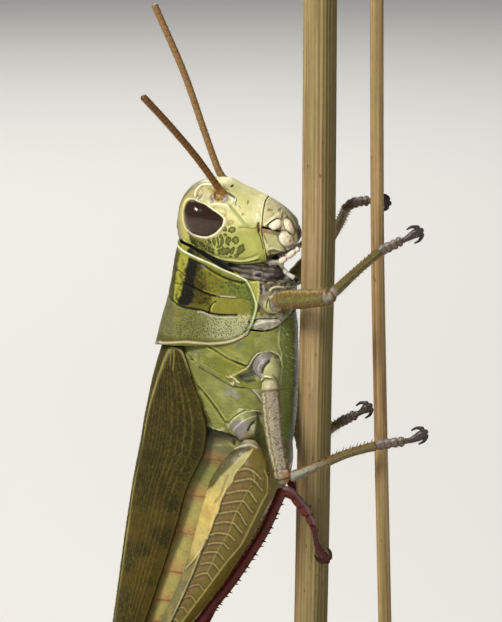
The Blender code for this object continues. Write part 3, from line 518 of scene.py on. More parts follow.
# --- materials ----------------------------------------------------------------------------------
class Finish:
    """A Principled material that reads the painted colour and adds fine grain, clouds and relief."""

    def __init__(self, name, rough, grain=0.05, clouds=0.16, relief=0.02, coat=0.0, sub=0.0,
                 stretch=(1, 1, 1), shine=0.3):
        self.made = bpy.data.materials.new(name)
        self.made.use_nodes = True
        self.tree = self.made.node_tree
        self.shader = self.tree.nodes["Principled BSDF"]
        self.shader.inputs["Roughness"].default_value = rough
        self.shader.inputs["Specular IOR Level"].default_value = shine
        self.shader.inputs["Coat Weight"].default_value = coat
        self.shader.inputs["Coat Roughness"].default_value = 0.2
        self.shader.inputs["Subsurface Weight"].default_value = sub
        self.shader.inputs["Subsurface Radius"].default_value = (1.0, 0.7, 0.3)
        self.shader.inputs["Subsurface Scale"].default_value = 0.25 * MM
        tint = self.node("ShaderNodeAttribute")
        tint.attribute_name = "tint"
        where = self.node("ShaderNodeTexCoord")
        scaled = self.node("ShaderNodeVectorMath", operation="MULTIPLY")
        scaled.inputs[1].default_value = stretch
        self.link(where.outputs["Object"], scaled.inputs[0])
        self.place = scaled.outputs[0]
        speck = self.noise(grain, 3)
        cloud = self.noise(grain * 9, 4)
        mixed = self.math("ADD", self.math("MULTIPLY", speck, clouds), self.math("MULTIPLY", cloud, clouds))
        gain = self.math("ADD", mixed, 1 - clouds)
        colour = self.node("ShaderNodeVectorMath", operation="SCALE")
        self.link(tint.outputs["Color"], colour.inputs[0])
        self.link(gain, colour.inputs["Scale"])
        self.link(colour.outputs[0], self.shader.inputs["Base Color"])
        uneven = self.math("ADD", self.math("MULTIPLY", cloud, 0.24), rough - 0.12)
        self.link(uneven, self.shader.inputs["Roughness"])
        bump = self.node("ShaderNodeBump")
        bump.inputs["Strength"].default_value = 0.6
        bump.inputs["Distance"].default_value = relief * MM
        self.link(speck, bump.inputs["Height"])
        self.link(bump.outputs[0], self.shader.inputs["Normal"])

    def node(self, kind, **settings):
        """A new node of the material."""
        made = self.tree.nodes.new(kind)
        for key, value in settings.items():
            setattr(made, key, value)
        return made

    def link(self, output, target):
        """Joins two sockets."""
        self.tree.links.new(output, target)

    def noise(self, size, detail):
        """Noise with lumps of a size in mm."""
        made = self.node("ShaderNodeTexNoise")
        made.inputs["Scale"].default_value = 1 / (size * MM)
        made.inputs["Detail"].default_value = detail
        self.link(self.place, made.inputs["Vector"])
        return made.outputs["Fac"]

    def math(self, operation, first, second):
        """A sum or product of sockets or numbers."""
        made = self.node("ShaderNodeMath", operation=operation)
        for socket, value in zip(made.inputs, (first, second)):
            if isinstance(value, (int, float)):
                socket.default_value = value
            else:
                self.link(value, socket)
        return made.outputs[0]


WAX = Finish("wax", 0.42, 0.05, 0.14, 0.012, coat=0.1, sub=0.1).made
MATT = Finish("matt", 0.58, 0.05, 0.2, 0.02, sub=0.04, shine=0.15).made
SOFT = Finish("soft", 0.6, 0.07, 0.2, 0.05, sub=0.15).made
HORN = Finish("horn", 0.4, 0.05, 0.18, 0.012, coat=0.12, sub=0.04, shine=0.25).made
GLASSY = Finish("glassy", 0.13, 0.03, 0.08, 0.002, coat=0.3, shine=0.3).made
STRAW = Finish("straw", 0.62, 0.06, 0.22, 0.03, sub=0.08, stretch=(1, 1, 0.05)).made
WOOD = Finish("turned_wood", 0.42, 0.25, 0.3, 0.02, coat=0.25, stretch=(1, 0.12, 1)).made
STEEL = Finish("rod_metal", 0.34, 0.04, 0.1, 0.004, stretch=(1, 1, 0.1))
STEEL.shader.inputs["Metallic"].default_value = 1.0
STEEL = STEEL.made


# --- head -----------------------------------------------------------------------------------------
def head_grid(first, last, count, sides, crowd=1.0):
    """Rings of the whole head between two x places, each from the front of the face round."""
    rows = smooth_rows([(x, 0, 0, back, front, width) for x, back, front, width in HEAD], 900)
    x = first + (last - first) * np.linspace(0, 1, count) ** crowd
    back, front, width = (np.interp(x, rows[:, 0], rows[:, k])[:, None] for k in (3, 4, 5))
    turn = math.pi / 2 + np.arange(sides * 3) * 2 * math.pi / (sides * 3)
    middle = back + (front - back) * HEAD_BACK_SHARE
    rise = np.sin(turn)
    square = np.where(rise > 0, HEAD_FRONT_SQUARE, HEAD_BACK_SQUARE)
    z = middle + np.where(rise > 0, front - middle, middle - back) * power(rise, 2 / square)
    y = width * power(np.cos(turn), 2 / square)
    return even(np.stack([x[:, None] + 0 * y, y, z], axis=-1), sides)


def head_side(x, z):
    """Half width of the head at a place in the side view."""
    table = np.array(HEAD)
    back, front, width = (profile(list(zip(table[:, 0], table[:, k])))(x) for k in (1, 2, 3))
    middle = back + (front - back) * HEAD_BACK_SHARE
    above = z > middle
    share = np.abs(z - middle) / np.where(above, front - middle, middle - back)
    square = np.where(above, HEAD_FRONT_SQUARE, HEAD_BACK_SQUARE)
    return width * np.clip(1 - share ** square, 0, 1) ** (1 / square)


def eye_reach(x, z):
    """Distance from the eye's centre as a share of its reach in that direction."""
    dx, dz = x - EYE_CENTRE[0], z - EYE_CENTRE[1]
    turn = np.degrees(np.arctan2(dz, dx)) % 360
    return np.hypot(dx, dz) / profile(EYE_REACH)(turn)


LIP_BEND = [(43.8, 0.42), (44.05, 0.32), (44.5, 0.0), (45.1, -0.15), (45.4, 0.0), (46.0, 0.1), (46.5, 0.14)]


def suture_shift(points):
    """Leans the seam between cheek and jaw towards the mouth low down, and bends the seam before the lip."""
    x, z = points[..., 0], points[..., 2]
    lean = 0.3 * ramp(z, 45.5, 43.6) * bump(x - FACE_X, 0.8)
    bend = np.interp(z, *zip(*LIP_BEND)) * bump(x - LABRUM_X, 0.5)
    points[..., 0] += lean + bend
    return points


# x, z, half length, half height, lean
CHEEK_PATCHES = [(-3.57, 45.46, 0.17, 0.24, 10), (-3.5, 45.04, 0.13, 0.15, 0),
                 (-3.82, 44.88, 0.13, 0.16, -15), (-3.74, 44.48, 0.13, 0.32, -8),
                 (-3.97, 44.14, 0.15, 0.12, 10), (-4.03, 44.6, 0.1, 0.26, 5), (-4.31, 44.54, 0.13, 0.32, 8),
                 (-3.28, 44.63, 0.2, 0.33, -12), (-2.73, 44.67, 0.24, 0.29, -20),
                 (-3.58, 43.8, 0.5, 0.27, 14), (-2.98, 43.9, 0.17, 0.3, -22), (-2.4, 44.02, 0.25, 0.42, -24),
                 (-2.7, 43.54, 0.2, 0.14, 20), (-3.12, 43.45, 0.12, 0.09, 0), (-3.02, 45.42, 0.25, 0.2, 20)]
CHEEK_FIELD = ([(-6.25, 44.98), (-6.12, 44.3), (-5.6, 43.72), (-4.9, 43.36)],
               [(-4.55, 44.98), (-4.5, 44.5), (-4.3, 43.9), (-4.24, 43.36)])


def paint_cheek(skin):
    """The dark green net of marks below and beside the eye."""
    flank = ramp(skin.y, 0.9, 1.4)
    wobble = skin.noise(0.16, 5) * 0.26 + skin.noise(0.07, 6) * 0.14
    near, far = cells(skin.points, 0.3, 9)
    vein = ramp(far - near, 0.15, 0.05)
    field = skin.band(*CHEEK_FIELD, 0.05, 0.12) * flank
    skin.paint(field * 0.97, (56, 56, 14))
    skin.paint(field * ramp(near, 0.5, 0.2) * 0.35, (78, 78, 26))
    skin.paint(field * vein * ramp(skin.x, -6.1, -5.2) * skin.cloud(0.5, 4, -0.5, 0.1) * 0.75, (150, 150, 66))
    skin.push(-0.012 * field * (1 - vein))
    for x, z, across, high, lean in CHEEK_PATCHES:
        reach = skin.oval((x, z), across, high, lean) + wobble
        inside = ramp(reach, 1.08, 0.96) * flank
        skin.paint(inside * 0.94, (96, 96, 34))
        skin.paint(bump(reach - 0.84, 0.17) * flank * 0.9, (52, 54, 12))
        skin.push(-0.012 * inside)
    skin.dab((-3.14, 45.92, 0.3, 0.19, 22, (166, 158, 92), 0.75),
             (-3.22, 45.78, 0.12, 0.08, 0, (134, 124, 60), 0.6),
             (-2.73, 44.7, 0.1, 0.12, 0, (140, 140, 66), 0.8),
             (-3.02, 45.42, 0.13, 0.1, 20, (150, 146, 78), 0.7),
             (-3.67, 44.16, 0.07, 0.08, 0, (24, 16, 8), 0.95), (-6.2, 44.98, 0.13, 0.1, 0, (22, 18, 6), 0.9))


WHITE, CREAM = (242, 239, 224), (248, 240, 192)


def tone_capsule(skin, y):
    """Broad colours of the head; y is its half width before the eye sockets are pressed in."""
    x, z = skin.x, skin.z
    skin.shade(x, -4.2, -5.6, 0.85, (164, 152, 100))
    skin.paint(ramp(z - 0.25 * (x + 3), 46.2, 44.9) * 0.95, (170, 172, 86))
    skin.paint(ramp(z, 44.3, 43.2) * ramp(x, -4.6, -3) * 0.6, (160, 164, 76))
    skin.paint(skin.near([(-1.73, 2.49, 44.71), (-1.45, 2.43, 44.11), (-1.6, 2.4, 43.6)], 0.42) * 0.5,
               (196, 196, 104))
    # paler cream at the top of the face: partly its own colour, partly painted light from above
    skin.paint(ramp(x, -1.9, -1.2) * ramp(z, 45.4, 46.1) * 0.7, (238, 232, 182))
    skin.paint(skin.near([(-3.0, 1.2, 47.9), (-2.4, 1.6, 47.5)], 0.5) * 0.5, (200, 198, 118))
    crown_edge = np.interp(z, (44.6, 45.6, 46.6, 47.3), (1.8, 1.72, 1.5, 1.4))
    crown = ramp(y, crown_edge, crown_edge - 0.7) * ramp(x, -4.8, -6.2)
    skin.paint(crown * (0.8 + 0.2 * skin.noise(0.5, 3)), (92, 86, 46))
    strip = [(-6.4, 1.83, 44.64), (-6.46, 1.83, 45.12), (-6.59, 1.78, 45.59), (-6.7, 1.5, 46.6),
             (-6.35, 1.45, 47.3)]
    skin.paint(skin.near(curve(strip), 0.17) * 0.9, (192, 190, 74))


def draw_crown(skin):
    """The pale arc, the hollow and the small dark bar between the top of the eye and the crown, with a
    painted glint on the bar.
    """
    arc = [(-5.81, 1.6, 47.57), (-5.79, 1.38, 47.82), (-5.64, 1.19, 48.0), (-5.41, 1.01, 48.19),
           (-5.04, 1.06, 48.3), (-4.73, 1.12, 48.29)]
    hollow = [(-5.35, 1.6, 47.75), (-5.05, 1.62, 47.89), (-4.86, 1.9, 47.55)]
    skin.draw((hollow, 0.3, -0.07, (186, 174, 122), 0.7),
              ([(-4.8, 1.4, 48.1), (-4.5, 1.6, 47.95)], 0.2, -0.05, (136, 118, 74), 0.7),
              (arc, 0.055, 0.08, WHITE, 1.0),
              (shifted(arc, 0.13, 0.14, -0.04), 0.05, -0.05, (140, 120, 76), 0.6),
              ([(-5.24, 1.75, 47.64), (-5.55, 1.83, 47.29)], 0.12, 0.03, WHITE, 0.9),
              ([(-5.26, 1.75, 47.62), (-5.52, 1.83, 47.32)], 0.075, 0.05, (46, 28, 22), 1.0),
              # the white dot on the dark bar is a painted glint
              ([(-5.52, 1.86, 47.36), (-5.47, 1.87, 47.38)], 0.03, 0.02, WHITE, 0.9))


def sink_socket(skin):
    """The feeler's socket: a pit with a raised rim and small brown lumps."""
    socket = skin.distance([(-3.98, 1.72, 47.66)], 2)
    skin.push(-0.2 * ramp(socket, 0.48, 0.3) + 0.06 * bump(socket - 0.56, 0.1))
    skin.shade(socket, 0.72, 0.45, 0.85, (168, 130, 70))
    lumps = cells(skin.points, 0.24, 17)[0]
    skin.push(0.05 * ramp(lumps, 0.5, 0.1) * ramp(socket, 0.85, 0.6))
    skin.paint(ramp(lumps, 0.3, 0.6) * ramp(socket, 0.85, 0.6) * 0.6, (104, 66, 30))


def draw_face(skin):
    """Seams, ridges and furrows of the brow, the face and the front of the cheek, with a painted shadow in
    the groove beside the feeler's socket, painted shade under the cream arc and a painted highlight on the
    face.
    """
    brown = (74, 52, 30)
    groove = [(-3.92, 1.61, 47.99), (-3.55, 1.65, 47.86), (-3.19, 1.68, 47.7), (-2.91, 1.73, 47.54)]
    skin.draw(([(-4.64, 1.9, 47.6), (-4.55, 2.05, 47.38), (-4.48, 2.13, 47.18)], 0.15, -0.03, (112, 98, 112),
               0.85),
              ([(-4.3, 1.98, 47.52), (-4.2, 2.12, 47.25)], 0.05, -0.04, brown, 0.8),
              ([(-3.64, 1.9, 47.58), (-3.56, 2.04, 47.4)], 0.15, 0.0, (176, 172, 176), 0.85),
              # the dark groove beside the keel is a painted shadow
              (groove, 0.085, -0.1, (44, 32, 24), 1.0),
              (shifted(groove, 0, 0.1, -0.1), 0.05, 0.02, (150, 136, 132), 0.8),
              ([(-3.38, 1.82, 47.6), (-3.33, 1.86, 47.52), (-3.1, 1.84, 47.49)], 0.075, 0.06, WHITE, 1.0),
              ([(-2.86, 1.75, 47.49), (-2.92, 1.9, 47.34), (-3.1, 1.93, 47.36), (-3.12, 2.02, 47.25)], 0.07,
               0.06, WHITE, 1.0),
              ([(-2.82, 1.73, 47.51), (-2.82, 1.91, 47.31), (-2.86, 2.03, 47.18), (-2.73, 2.08, 47.08)],
               0.035, -0.05, (96, 78, 44), 0.95),
              ([(-2.73, 2.08, 47.08), (-2.57, 2.15, 46.92)], 0.05, 0.03, (206, 200, 190), 0.9),
              ([(-2.62, 2.02, 47.02), (-2.45, 2.1, 46.88)], 0.03, -0.03, (84, 70, 44), 0.8),
              ([(-4.63, 2.12, 46.99), (-4.35, 2.16, 47.13), (-4.05, 2.17, 47.17), (-3.63, 2.19, 47.11),
                (-3.33, 2.2, 46.99), (-3.2, 2.25, 46.83)], 0.085, 0.08, CREAM, 1.0),
              # the brown-beige band under the cream arc is painted shade
              ([(-4.3, 2.24, 46.9), (-3.7, 2.3, 46.84), (-3.45, 2.36, 46.6), (-3.5, 2.42, 46.25)], 0.11,
               -0.03, (180, 160, 100), 0.6),
              ([(-3.75, 2.4, 46.55), (-3.5, 2.42, 46.45)], 0.05, -0.02, (150, 128, 84), 0.6),
              ([(-3.16, 2.19, 46.99), (-2.84, 2.29, 46.67), (-2.46, 2.4, 46.28), (-2.16, 2.44, 45.94),
                (-1.86, 2.44, 45.68)], 0.16, -0.04, (166, 172, 104), 0.95),
              ([(-3.02, 2.1, 47.04), (-2.68, 2.2, 46.72), (-2.3, 2.3, 46.33), (-1.98, 2.4, 45.96)], 0.05,
               0.03, (226, 222, 160), 0.6),
              ([(-2.5, 2.52, 45.59), (-2.15, 2.48, 45.62), (-1.86, 2.45, 45.57), (-1.51, 2.42, 45.51),
                (-1.25, 2.34, 45.6)], 0.05, -0.04, (150, 118, 66), 0.85),
              ([(-1.17, 2.32, 45.65), (-1.1, 2.34, 45.36)], 0.17, 0.0, (140, 96, 56), 0.7),
              ([(-1.15, 2.28, 45.89), (-1.17, 2.32, 45.65), (-1.1, 2.34, 45.36)], 0.09, -0.1, (60, 16, 10),
               1.0),
              # the near-white patch on the face is a painted highlight
              ([(-1.24, 2.05, 46.44), (-1.2, 2.1, 46.3)], 0.12, 0.05, (250, 246, 210), 0.8),
              ([(-1.16, 2.36, 45.3), (-0.96, 2.33, 44.77), (-0.85, 2.26, 44.22), (-0.8, 2.06, 43.58)], 0.045,
               -0.06, (92, 72, 38), 0.9))


def draw_cheek_rim(skin):
    """The rolled lower edge of the cheek, with a painted shadow beneath it."""
    low = [(-6.63, 1.58, 44.34), (-6.1, 2.0, 43.92), (-5.3, 2.15, 43.5), (-4.4, 2.15, 43.28),
           (-3.59, 2.11, 43.18), (-2.97, 2.24, 43.17), (-2.37, 2.25, 43.14), (-1.77, 2.29, 43.26),
           (-1.24, 2.25, 43.48)]
    skin.draw((low, 0.1, 0.07, (212, 214, 146), 0.9),
              (shifted(low[3:], 0, 0, 0.2), 0.08, -0.03, (138, 142, 60), 0.6),
              # the dark line below the rim is a painted shadow
              (shifted(low, 0, -0.15, -0.17), 0.09, -0.07, (40, 38, 22), 0.9))


def ring_eye(skin, reach, beside):
    """The pale ring round the eye, the brown line outside it, which is painted shade, and the dark socket
    within.
    """
    x, z = skin.x, skin.z
    shown = beside * (0.35 + 0.65 * ramp(x - 0.4 * z, -24.2, -23.2))
    skin.push(0.08 * bump(reach - 1.06, 0.05) * beside)
    # the brown line outside the pale ring is painted shade
    skin.paint(bump(reach - 1.18, 0.05) * shown * 0.5, (166, 140, 92))
    skin.paint(bump(reach - 1.08, 0.055) * shown, (250, 238, 204))
    skin.paint(ramp(reach, 1.03, 0.98) * beside, (52, 32, 24))


def make_capsule():
    """The head capsule: brow, sockets, cheeks and face, with its ridges, pits and marks."""
    points = suture_shift(head_grid(HEAD[0][0], FACE_X - SUTURE, 280, 285, 1.2))
    ends = with_ends(points, domed(0.16), ((0.985, 0.0), (0.9, -0.1), (0.5, -0.1)))
    skin = Skin(ends, (222, 217, 156))
    x, y, z = skin.x, skin.y, skin.z
    reach, beside = eye_reach(x, z), ramp(y, 0.9, 1.3)
    skin.push(-0.55 * ramp(reach, 1.0, 0.8) * beside)
    tone_capsule(skin, y)
    paint_cheek(skin)
    draw_crown(skin)
    sink_socket(skin)
    draw_face(skin)
    skin.push(0.06 * ramp(y, 0.62, 0.35) * ramp(x, -5.2, -4.2) * ramp(z, 46.5, 47))
    draw_cheek_rim(skin)
    skin.dab((-3.29, 48.25, 0.1, 0.07, 0, (20, 16, 10), 1.0),
             (-2.03, 47.26, 0.08, 0.13, 10, (134, 130, 70), 0.8),
             (-2.28, 46.5, 0.1, 0.1, -30, (146, 140, 80), 0.7),
             (-5.6, 47.6, 0.07, 0.05, 0, (120, 98, 54), 0.8),
             (-5.3, 47.98, 0.07, 0.05, 0, (126, 104, 60), 0.8))
    ring_eye(skin, reach, beside)
    skin.roughen((0.014, 0.35, 21), (0.005, 0.1, 22))
    skin.paint(skin.cloud(0.09, 30, 0.35, 0.8) * 0.18, (150, 146, 84))
    # painted shade in the hollows and painted highlight on the ridges
    skin.mottle(0.5, 0.07, 7).mottle(0.12, 0.05, 8).paint_relief_shading(0.16)
    hairs = fuzz(skin, 260, 0.16, (222, 218, 190), lean=(0.4, 0, 0.2), salt=61, mask=ramp(z, 44.0, 45.5),
                 radius=0.006)
    join("head_capsule", [skin, *hairs], "head_shell", WAX, ["head"])


def make_eyes():
    """Domed eyes over the sockets, darker towards their rims, with a painted sheen of paler brown low down.
    """
    for word, side in SIDES:
        spread = np.sin(np.linspace(0.02, math.pi / 2, 60))[:, None]
        turn = np.arange(120) * 3.0
        reach = profile(EYE_REACH)(turn)
        rim_x = EYE_CENTRE[0] + reach * np.cos(np.radians(turn))
        rim_z = EYE_CENTRE[1] + reach * np.sin(np.radians(turn))
        rim = head_side(rim_x, rim_z) - 0.02
        x = EYE_CENTRE[0] + (rim_x - EYE_CENTRE[0]) * spread
        z = EYE_CENTRE[1] + (rim_z - EYE_CENTRE[1]) * spread
        y = rim + (EYE_TOP - rim) * (1 - spread ** 2.3) ** 0.62
        points = np.stack([x, y * side, z], axis=-1)
        inner = np.stack([x[-1], (rim - 0.35) * side, z[-1]], axis=-1)
        skin = Skin(np.concatenate([points, inner[None]]), (46, 30, 22))
        # paler brown with clouds low on the eye: painted sheen
        skin.shade(skin.z, 46.6, 45.2, 0.5, (70, 50, 34))
        skin.paint(skin.cloud(0.25, 4, 0.2, 0.7) * ramp(skin.z, 46.2, 45.3) * 0.4, (92, 68, 46))
        edge = np.concatenate([np.broadcast_to(spread, x.shape), np.ones((1, 120))])
        skin.shade(edge, 0.93, 0.99, 0.8, (24, 15, 10))
        join(f"eye_{word}_lens", [skin], "eye", GLASSY, [f"eye_{word}"])


RING = 720  # points of the head's rings that the mouth parts are cut from


def sector_grid(first, last, count, sides, part):
    """The clypeus ("front") or one jaw: a part of the head's rings, closed on the inside."""
    rows, half_ring = [], RING // 2
    for ring in head_grid(first, last, count, RING):
        line = np.interp(ring[0, 0], (FACE_X, LABRUM_X), (45.62, 45.3))
        if part == "front":
            ring = np.roll(ring, half_ring, axis=0)
            kept = ring[ring[:, 2] > line + SUTURE]
        else:
            half = ring[2:half_ring - 1] if part == "right" else ring[half_ring + 2:-1]
            kept = half[half[:, 2] < line - SUTURE]
        length = np.concatenate([[0], np.cumsum(np.linalg.norm(np.diff(kept, axis=0), axis=1))])
        place = np.linspace(0, length[-1], sides)
        arc = np.stack([np.interp(place, length, column) for column in kept.T], axis=1)
        centre = arc.mean(axis=0)
        rows.append(np.vstack([arc, centre + (arc[::-8] - centre) * 0.72]))
    return np.array(rows)


def mouth_part(part, sides, colour):
    """The skin of the clypeus or of a jaw; sides counts the points of its outer side."""
    return Skin(suture_shift(sector_grid(FACE_X + SUTURE, LABRUM_X - SUTURE, 78, sides, part)), colour)


def edge_share(skin, sides):
    """Distance in mm of a sector's outer points from its cut edges, and 0 on its inside."""
    outer = skin.points[:, :sides]
    step = np.linalg.norm(np.diff(outer, axis=1), axis=-1)
    run = np.concatenate([np.zeros((len(outer), 1)), np.cumsum(step, axis=1)], axis=1)
    side = np.minimum(run, run[:, -1:] - run)
    ends = np.concatenate([[0], np.cumsum(np.linalg.norm(np.diff(outer.mean(axis=1), axis=0), axis=1))])
    rows = np.minimum(ends, ends[-1] - ends)[:, None]
    result = np.zeros(skin.x.shape)
    result[:, :sides] = np.minimum(side, rows)
    return result


SEAM = (54, 44, 28)


def make_clypeus():
    """The plate below the brow, with its round lobe, ridge and rolled edge, and painted shade under the
    ridge.
    """
    cream, dark = (248, 238, 208), (96, 82, 46)
    clypeus = mouth_part("front", 270, (210, 202, 158))
    edge = edge_share(clypeus, 270)
    clypeus.push(-0.09 * bump(edge, 0.06))
    clypeus.paint(bump(edge, 0.05) * 0.6, (110, 104, 54))
    clypeus.paint(ramp(clypeus.x, -0.3, 0.2) * ramp(clypeus.y, 1.5, 0.6) * 0.6, (194, 188, 152))
    lobe = clypeus.oval((-0.02, 45.72), 0.44, 0.33, 28)
    clypeus.push(0.22 * ramp(lobe, 1.05, 0.4) - 0.07 * bump(lobe - 1.15, 0.12))
    clypeus.paint(ramp(lobe, 1.1, 0.85), cream)
    clypeus.paint(bump(lobe - 1.18, 0.1) * ramp(clypeus.x - clypeus.z, -45.6, -46.1) * 0.8, SEAM)
    ridge = [(-0.87, 2.0, 45.57), (-0.55, 2.1, 45.78), (-0.35, 1.91, 45.96), (-0.09, 1.66, 46.13)]
    clypeus.draw((shifted(ridge, 0, 0, 0.1), 0.07, 0.07, (250, 244, 204), 0.9),
                 # the dark line under the fold is painted shade
                 (ridge, 0.05, -0.07, dark, 0.95),
                 ([(0.05, 1.5, 46.3), (0.2, 1.3, 46.42)], 0.12, 0.05, (232, 226, 192), 0.7),
                 ([(0.14, 0.9, 46.5), (0.1, 1.05, 46.45), (0.2, 1.2, 46.3)], 0.06, -0.03, (140, 120, 70),
                  0.6))
    clypeus.dab((-0.55, 46.72, 0.12, 0.08, 0, (140, 132, 50), 0.9),
                (-0.38, 46.68, 0.06, 0.08, 0, (150, 142, 60), 0.8),
                (0.08, 46.63, 0.1, 0.08, 0, (120, 104, 66), 0.8),
                (-0.3, 46.4, 0.2, 0.08, 30, (188, 184, 100), 0.6))
    clypeus.roughen((0.015, 0.2, 31))
    clypeus.mottle(0.3, 0.08).mottle(0.09, 0.05)
    join("clypeus_plate", [clypeus], "mouth_shell", WAX, ["clypeus"])


def make_lip():
    """The upper lip, with two pale lobes, dark tips and a painted glint."""
    grid = suture_shift(head_grid(LABRUM_X + SUTURE, HEAD[-1][0], 96, 240))
    lip = Skin(with_ends(grid, start=((0.98, 0.0), (0.9, -0.08), (0.5, -0.1))), (238, 226, 196))
    lip.paint(ramp(lip.y, 1.15, 0.7) * ramp(lip.z, 44.6, 45.2) * 0.8, (150, 142, 112))
    lip.paint(lip.cloud(0.4, 36, -0.2, 0.4) * 0.5, (176, 170, 138))
    for centre, across, high, lean, rise in (((0.64, 44.7), 0.6, 0.42, -52, 0.16),
                                             ((0.86, 45.52), 0.58, 0.21, -62, 0.14)):
        reach = lip.oval(centre, across, high, lean)
        lip.push(rise * ramp(reach, 1.05, 0.35) - 0.07 * bump(reach - 1.14, 0.1))
        lip.paint(ramp(reach, 1.08, 0.9), (246, 234, 204))
        lip.paint(bump(reach - 1.16, 0.09) * 0.85, (112, 98, 62))
        lip.paint(bump(reach - 0.95, 0.12) * 0.5, (206, 194, 158))
    lip.draw(([(0.62, 0.71, 46.11), (0.96, 0.79, 45.72), (1.17, 0.82, 45.25)], 0.06, -0.08, SEAM, 0.9),
             ([(0.5, 0.45, 46.3), (0.9, 0.4, 45.9), (1.2, 0.4, 45.5)], 0.07, 0.04, (206, 202, 170), 0.7),
             ([(1.26, 0.8, 45.25), (1.3, 0.8, 45.15)], 0.12, 0.07, (142, 100, 48), 0.95),
             ([(1.2, 0.9, 45.4), (1.34, 0.85, 45.3), (1.4, 0.8, 45.1)], 0.04, -0.04, (60, 40, 16), 0.9),
             ([(1.44, 0.7, 44.92), (1.42, 0.7, 44.7)], 0.1, 0.05, (112, 76, 30), 0.9),
             ([(1.38, 0.42, 45.06), (1.48, 0.32, 44.68)], 0.14, 0.0, (16, 12, 8), 1.0),
             # the near-white spot is a painted glint
             ([(1.15, 1.01, 44.27), (1.12, 1.05, 44.34)], 0.05, 0.03, (255, 255, 250), 0.9))
    lip.dab((0.96, 44.54, 0.07, 0.07, 0, (206, 124, 46), 1.0),
            (0.82, 44.85, 0.05, 0.05, 0, (190, 130, 70), 0.7),
            (1.02, 44.05, 0.22, 0.18, 20, (168, 162, 176), 0.75))
    lip.shade(lip.x, 1.3, 1.44, 0.9, (30, 22, 14))
    lip.paint(lip.cloud(0.06, 35, 0.4, 0.75) * ramp(lip.y, 1.2, 1.5) * 0.5, (176, 140, 104))
    lip.paint(ramp(lip.z, 44.35, 44.0) * ramp(lip.y, 1.5, 1.2) * 0.5, (96, 82, 70))
    lip.roughen((0.015, 0.18, 32))
    lip.mottle(0.15, 0.07)
    join("labrum_lip", [lip], "mouth_shell", WAX, ["labrum"])


def make_jaws():
    """The two jaws, with ridges and rolled edges along the seams, painted highlights on the ridge and on the
    pale strip, and painted shade along the bottom.
    """
    for word, _ in SIDES:
        jaw = mouth_part(word, 190, (198, 190, 138))
        edge = edge_share(jaw, 190)
        jaw.push(-0.1 * bump(edge, 0.07))
        jaw.paint(bump(edge, 0.05) * 0.7, SEAM)
        jaw.paint(jaw.near([(-0.8, 2.23, 45.47), (-0.5, 2.15, 45.3)], 0.25) * 0.7, (214, 158, 108))
        jaw.paint(jaw.near([(-0.15, 1.99, 44.67), (0.0, 1.9, 44.5)], 0.3) * 0.5, (206, 202, 138))
        ridge = [(-0.55, 2.1, 44.3), (-0.5, 2.1, 44.02), (-0.27, 2.01, 44.1), (0.0, 1.84, 44.05),
                 (0.3, 1.7, 43.95)]
        # the near-white line on the ridge is a painted highlight
        jaw.draw((ridge, 0.07, 0.08, (246, 238, 196), 0.95),
                 (shifted(ridge, 0, 0, -0.2), 0.1, -0.04, (146, 134, 72), 0.7),
                 # the pale strip between the dark lines is a painted highlight
                 ([(-0.88, 2.17, 44.91), (-0.69, 2.2, 44.39), (-0.6, 2.09, 43.83)], 0.07, 0.05,
                  (226, 218, 158), 0.9),
                 ([(-0.76, 2.29, 45.0), (-0.53, 2.16, 44.32), (-0.5, 1.83, 43.6)], 0.05, -0.07, (84, 64, 34),
                  0.95))
        # darker along the bottom of the jaw: painted shade
        jaw.shade(jaw.z, 43.66, 43.5, 0.9, (44, 38, 26))
        jaw.roughen((0.014, 0.2, 33))
        jaw.mottle(0.25, 0.08).mottle(0.08, 0.06)
        join(f"jaw_{word}", [jaw], "mouth_shell", WAX, [f"mandible_{word}"])


# --- feelers, palps and neck ------------------------------------------------------------------------
FEELER_SIZES = [(0.36,), (0.33,), (0.22,), (0.27,), *[(0.25,)] * 4]
ANTENNAE = {
    "right": [(-3.75, -1.25, 47.55), (-3.92, -1.4, 47.88), (-4.1, -1.53, 48.12), (-4.25, -1.62, 48.35),
              (-4.5, -1.95, 48.85), (-5.35, -3.3, 50.6), (-6.72, -6.0, 53.3), (-7.95, -8.95, 55.75)],
    "left": [(-3.8, 1.3, 47.62), (-4.08, 1.4, 48.08), (-4.35, 1.46, 48.38), (-4.62, 1.5, 48.66),
             (-4.85, 1.6, 49.1), (-5.9, 2.2, 51.6), (-7.4, 2.9, 55.4), (-9.68, 3.5, 60.25)]}
UPPER_PALP = [(-0.85, 1.5, 42.95, 0.15), (-0.4, 1.6, 42.98, 0.2), (0.15, 1.68, 43.02, 0.13),
              (0.27, 1.66, 43.06, 0.2), (0.55, 1.6, 43.2, 0.22), (0.73, 1.52, 43.32, 0.14),
              (0.85, 1.46, 43.42, 0.21), (1.15, 1.3, 43.64, 0.22), (1.3, 1.2, 43.76, 0.15),
              (1.45, 1.12, 43.87, 0.21)]
# the near one hangs free, the far one is folded up behind the mouth
LOWER_PALPS = {"right": [(-0.3, 1.0, 42.95, 0.12), (0.1, 1.1, 42.8, 0.14), (0.45, 1.15, 42.46, 0.1),
                         (0.58, 1.2, 42.26, 0.16), (0.7, 1.2, 42.14, 0.17), (0.8, 1.22, 42.06, 0.13),
                         (0.96, 1.22, 41.96, 0.155), (1.24, 1.18, 41.76, 0.165), (1.4, 1.14, 41.63, 0.17),
                         (1.5, 1.1, 41.54, 0.1)],
               "left": [(-0.3, 1.0, 42.95, 0.12), (0.0, 1.05, 42.9, 0.14), (0.25, 1.0, 42.86, 0.1),
                        (0.4, 0.95, 42.86, 0.17), (0.55, 0.9, 42.9, 0.17), (0.62, 0.85, 42.96, 0.12),
                        (0.66, 0.8, 43.1, 0.16), (0.66, 0.75, 43.25, 0.1)]}
NECK_FRONT = [(-3.8, 42.9), (-2.6, 42.8), (-1.3, 42.88), (0.4, 42.5)]
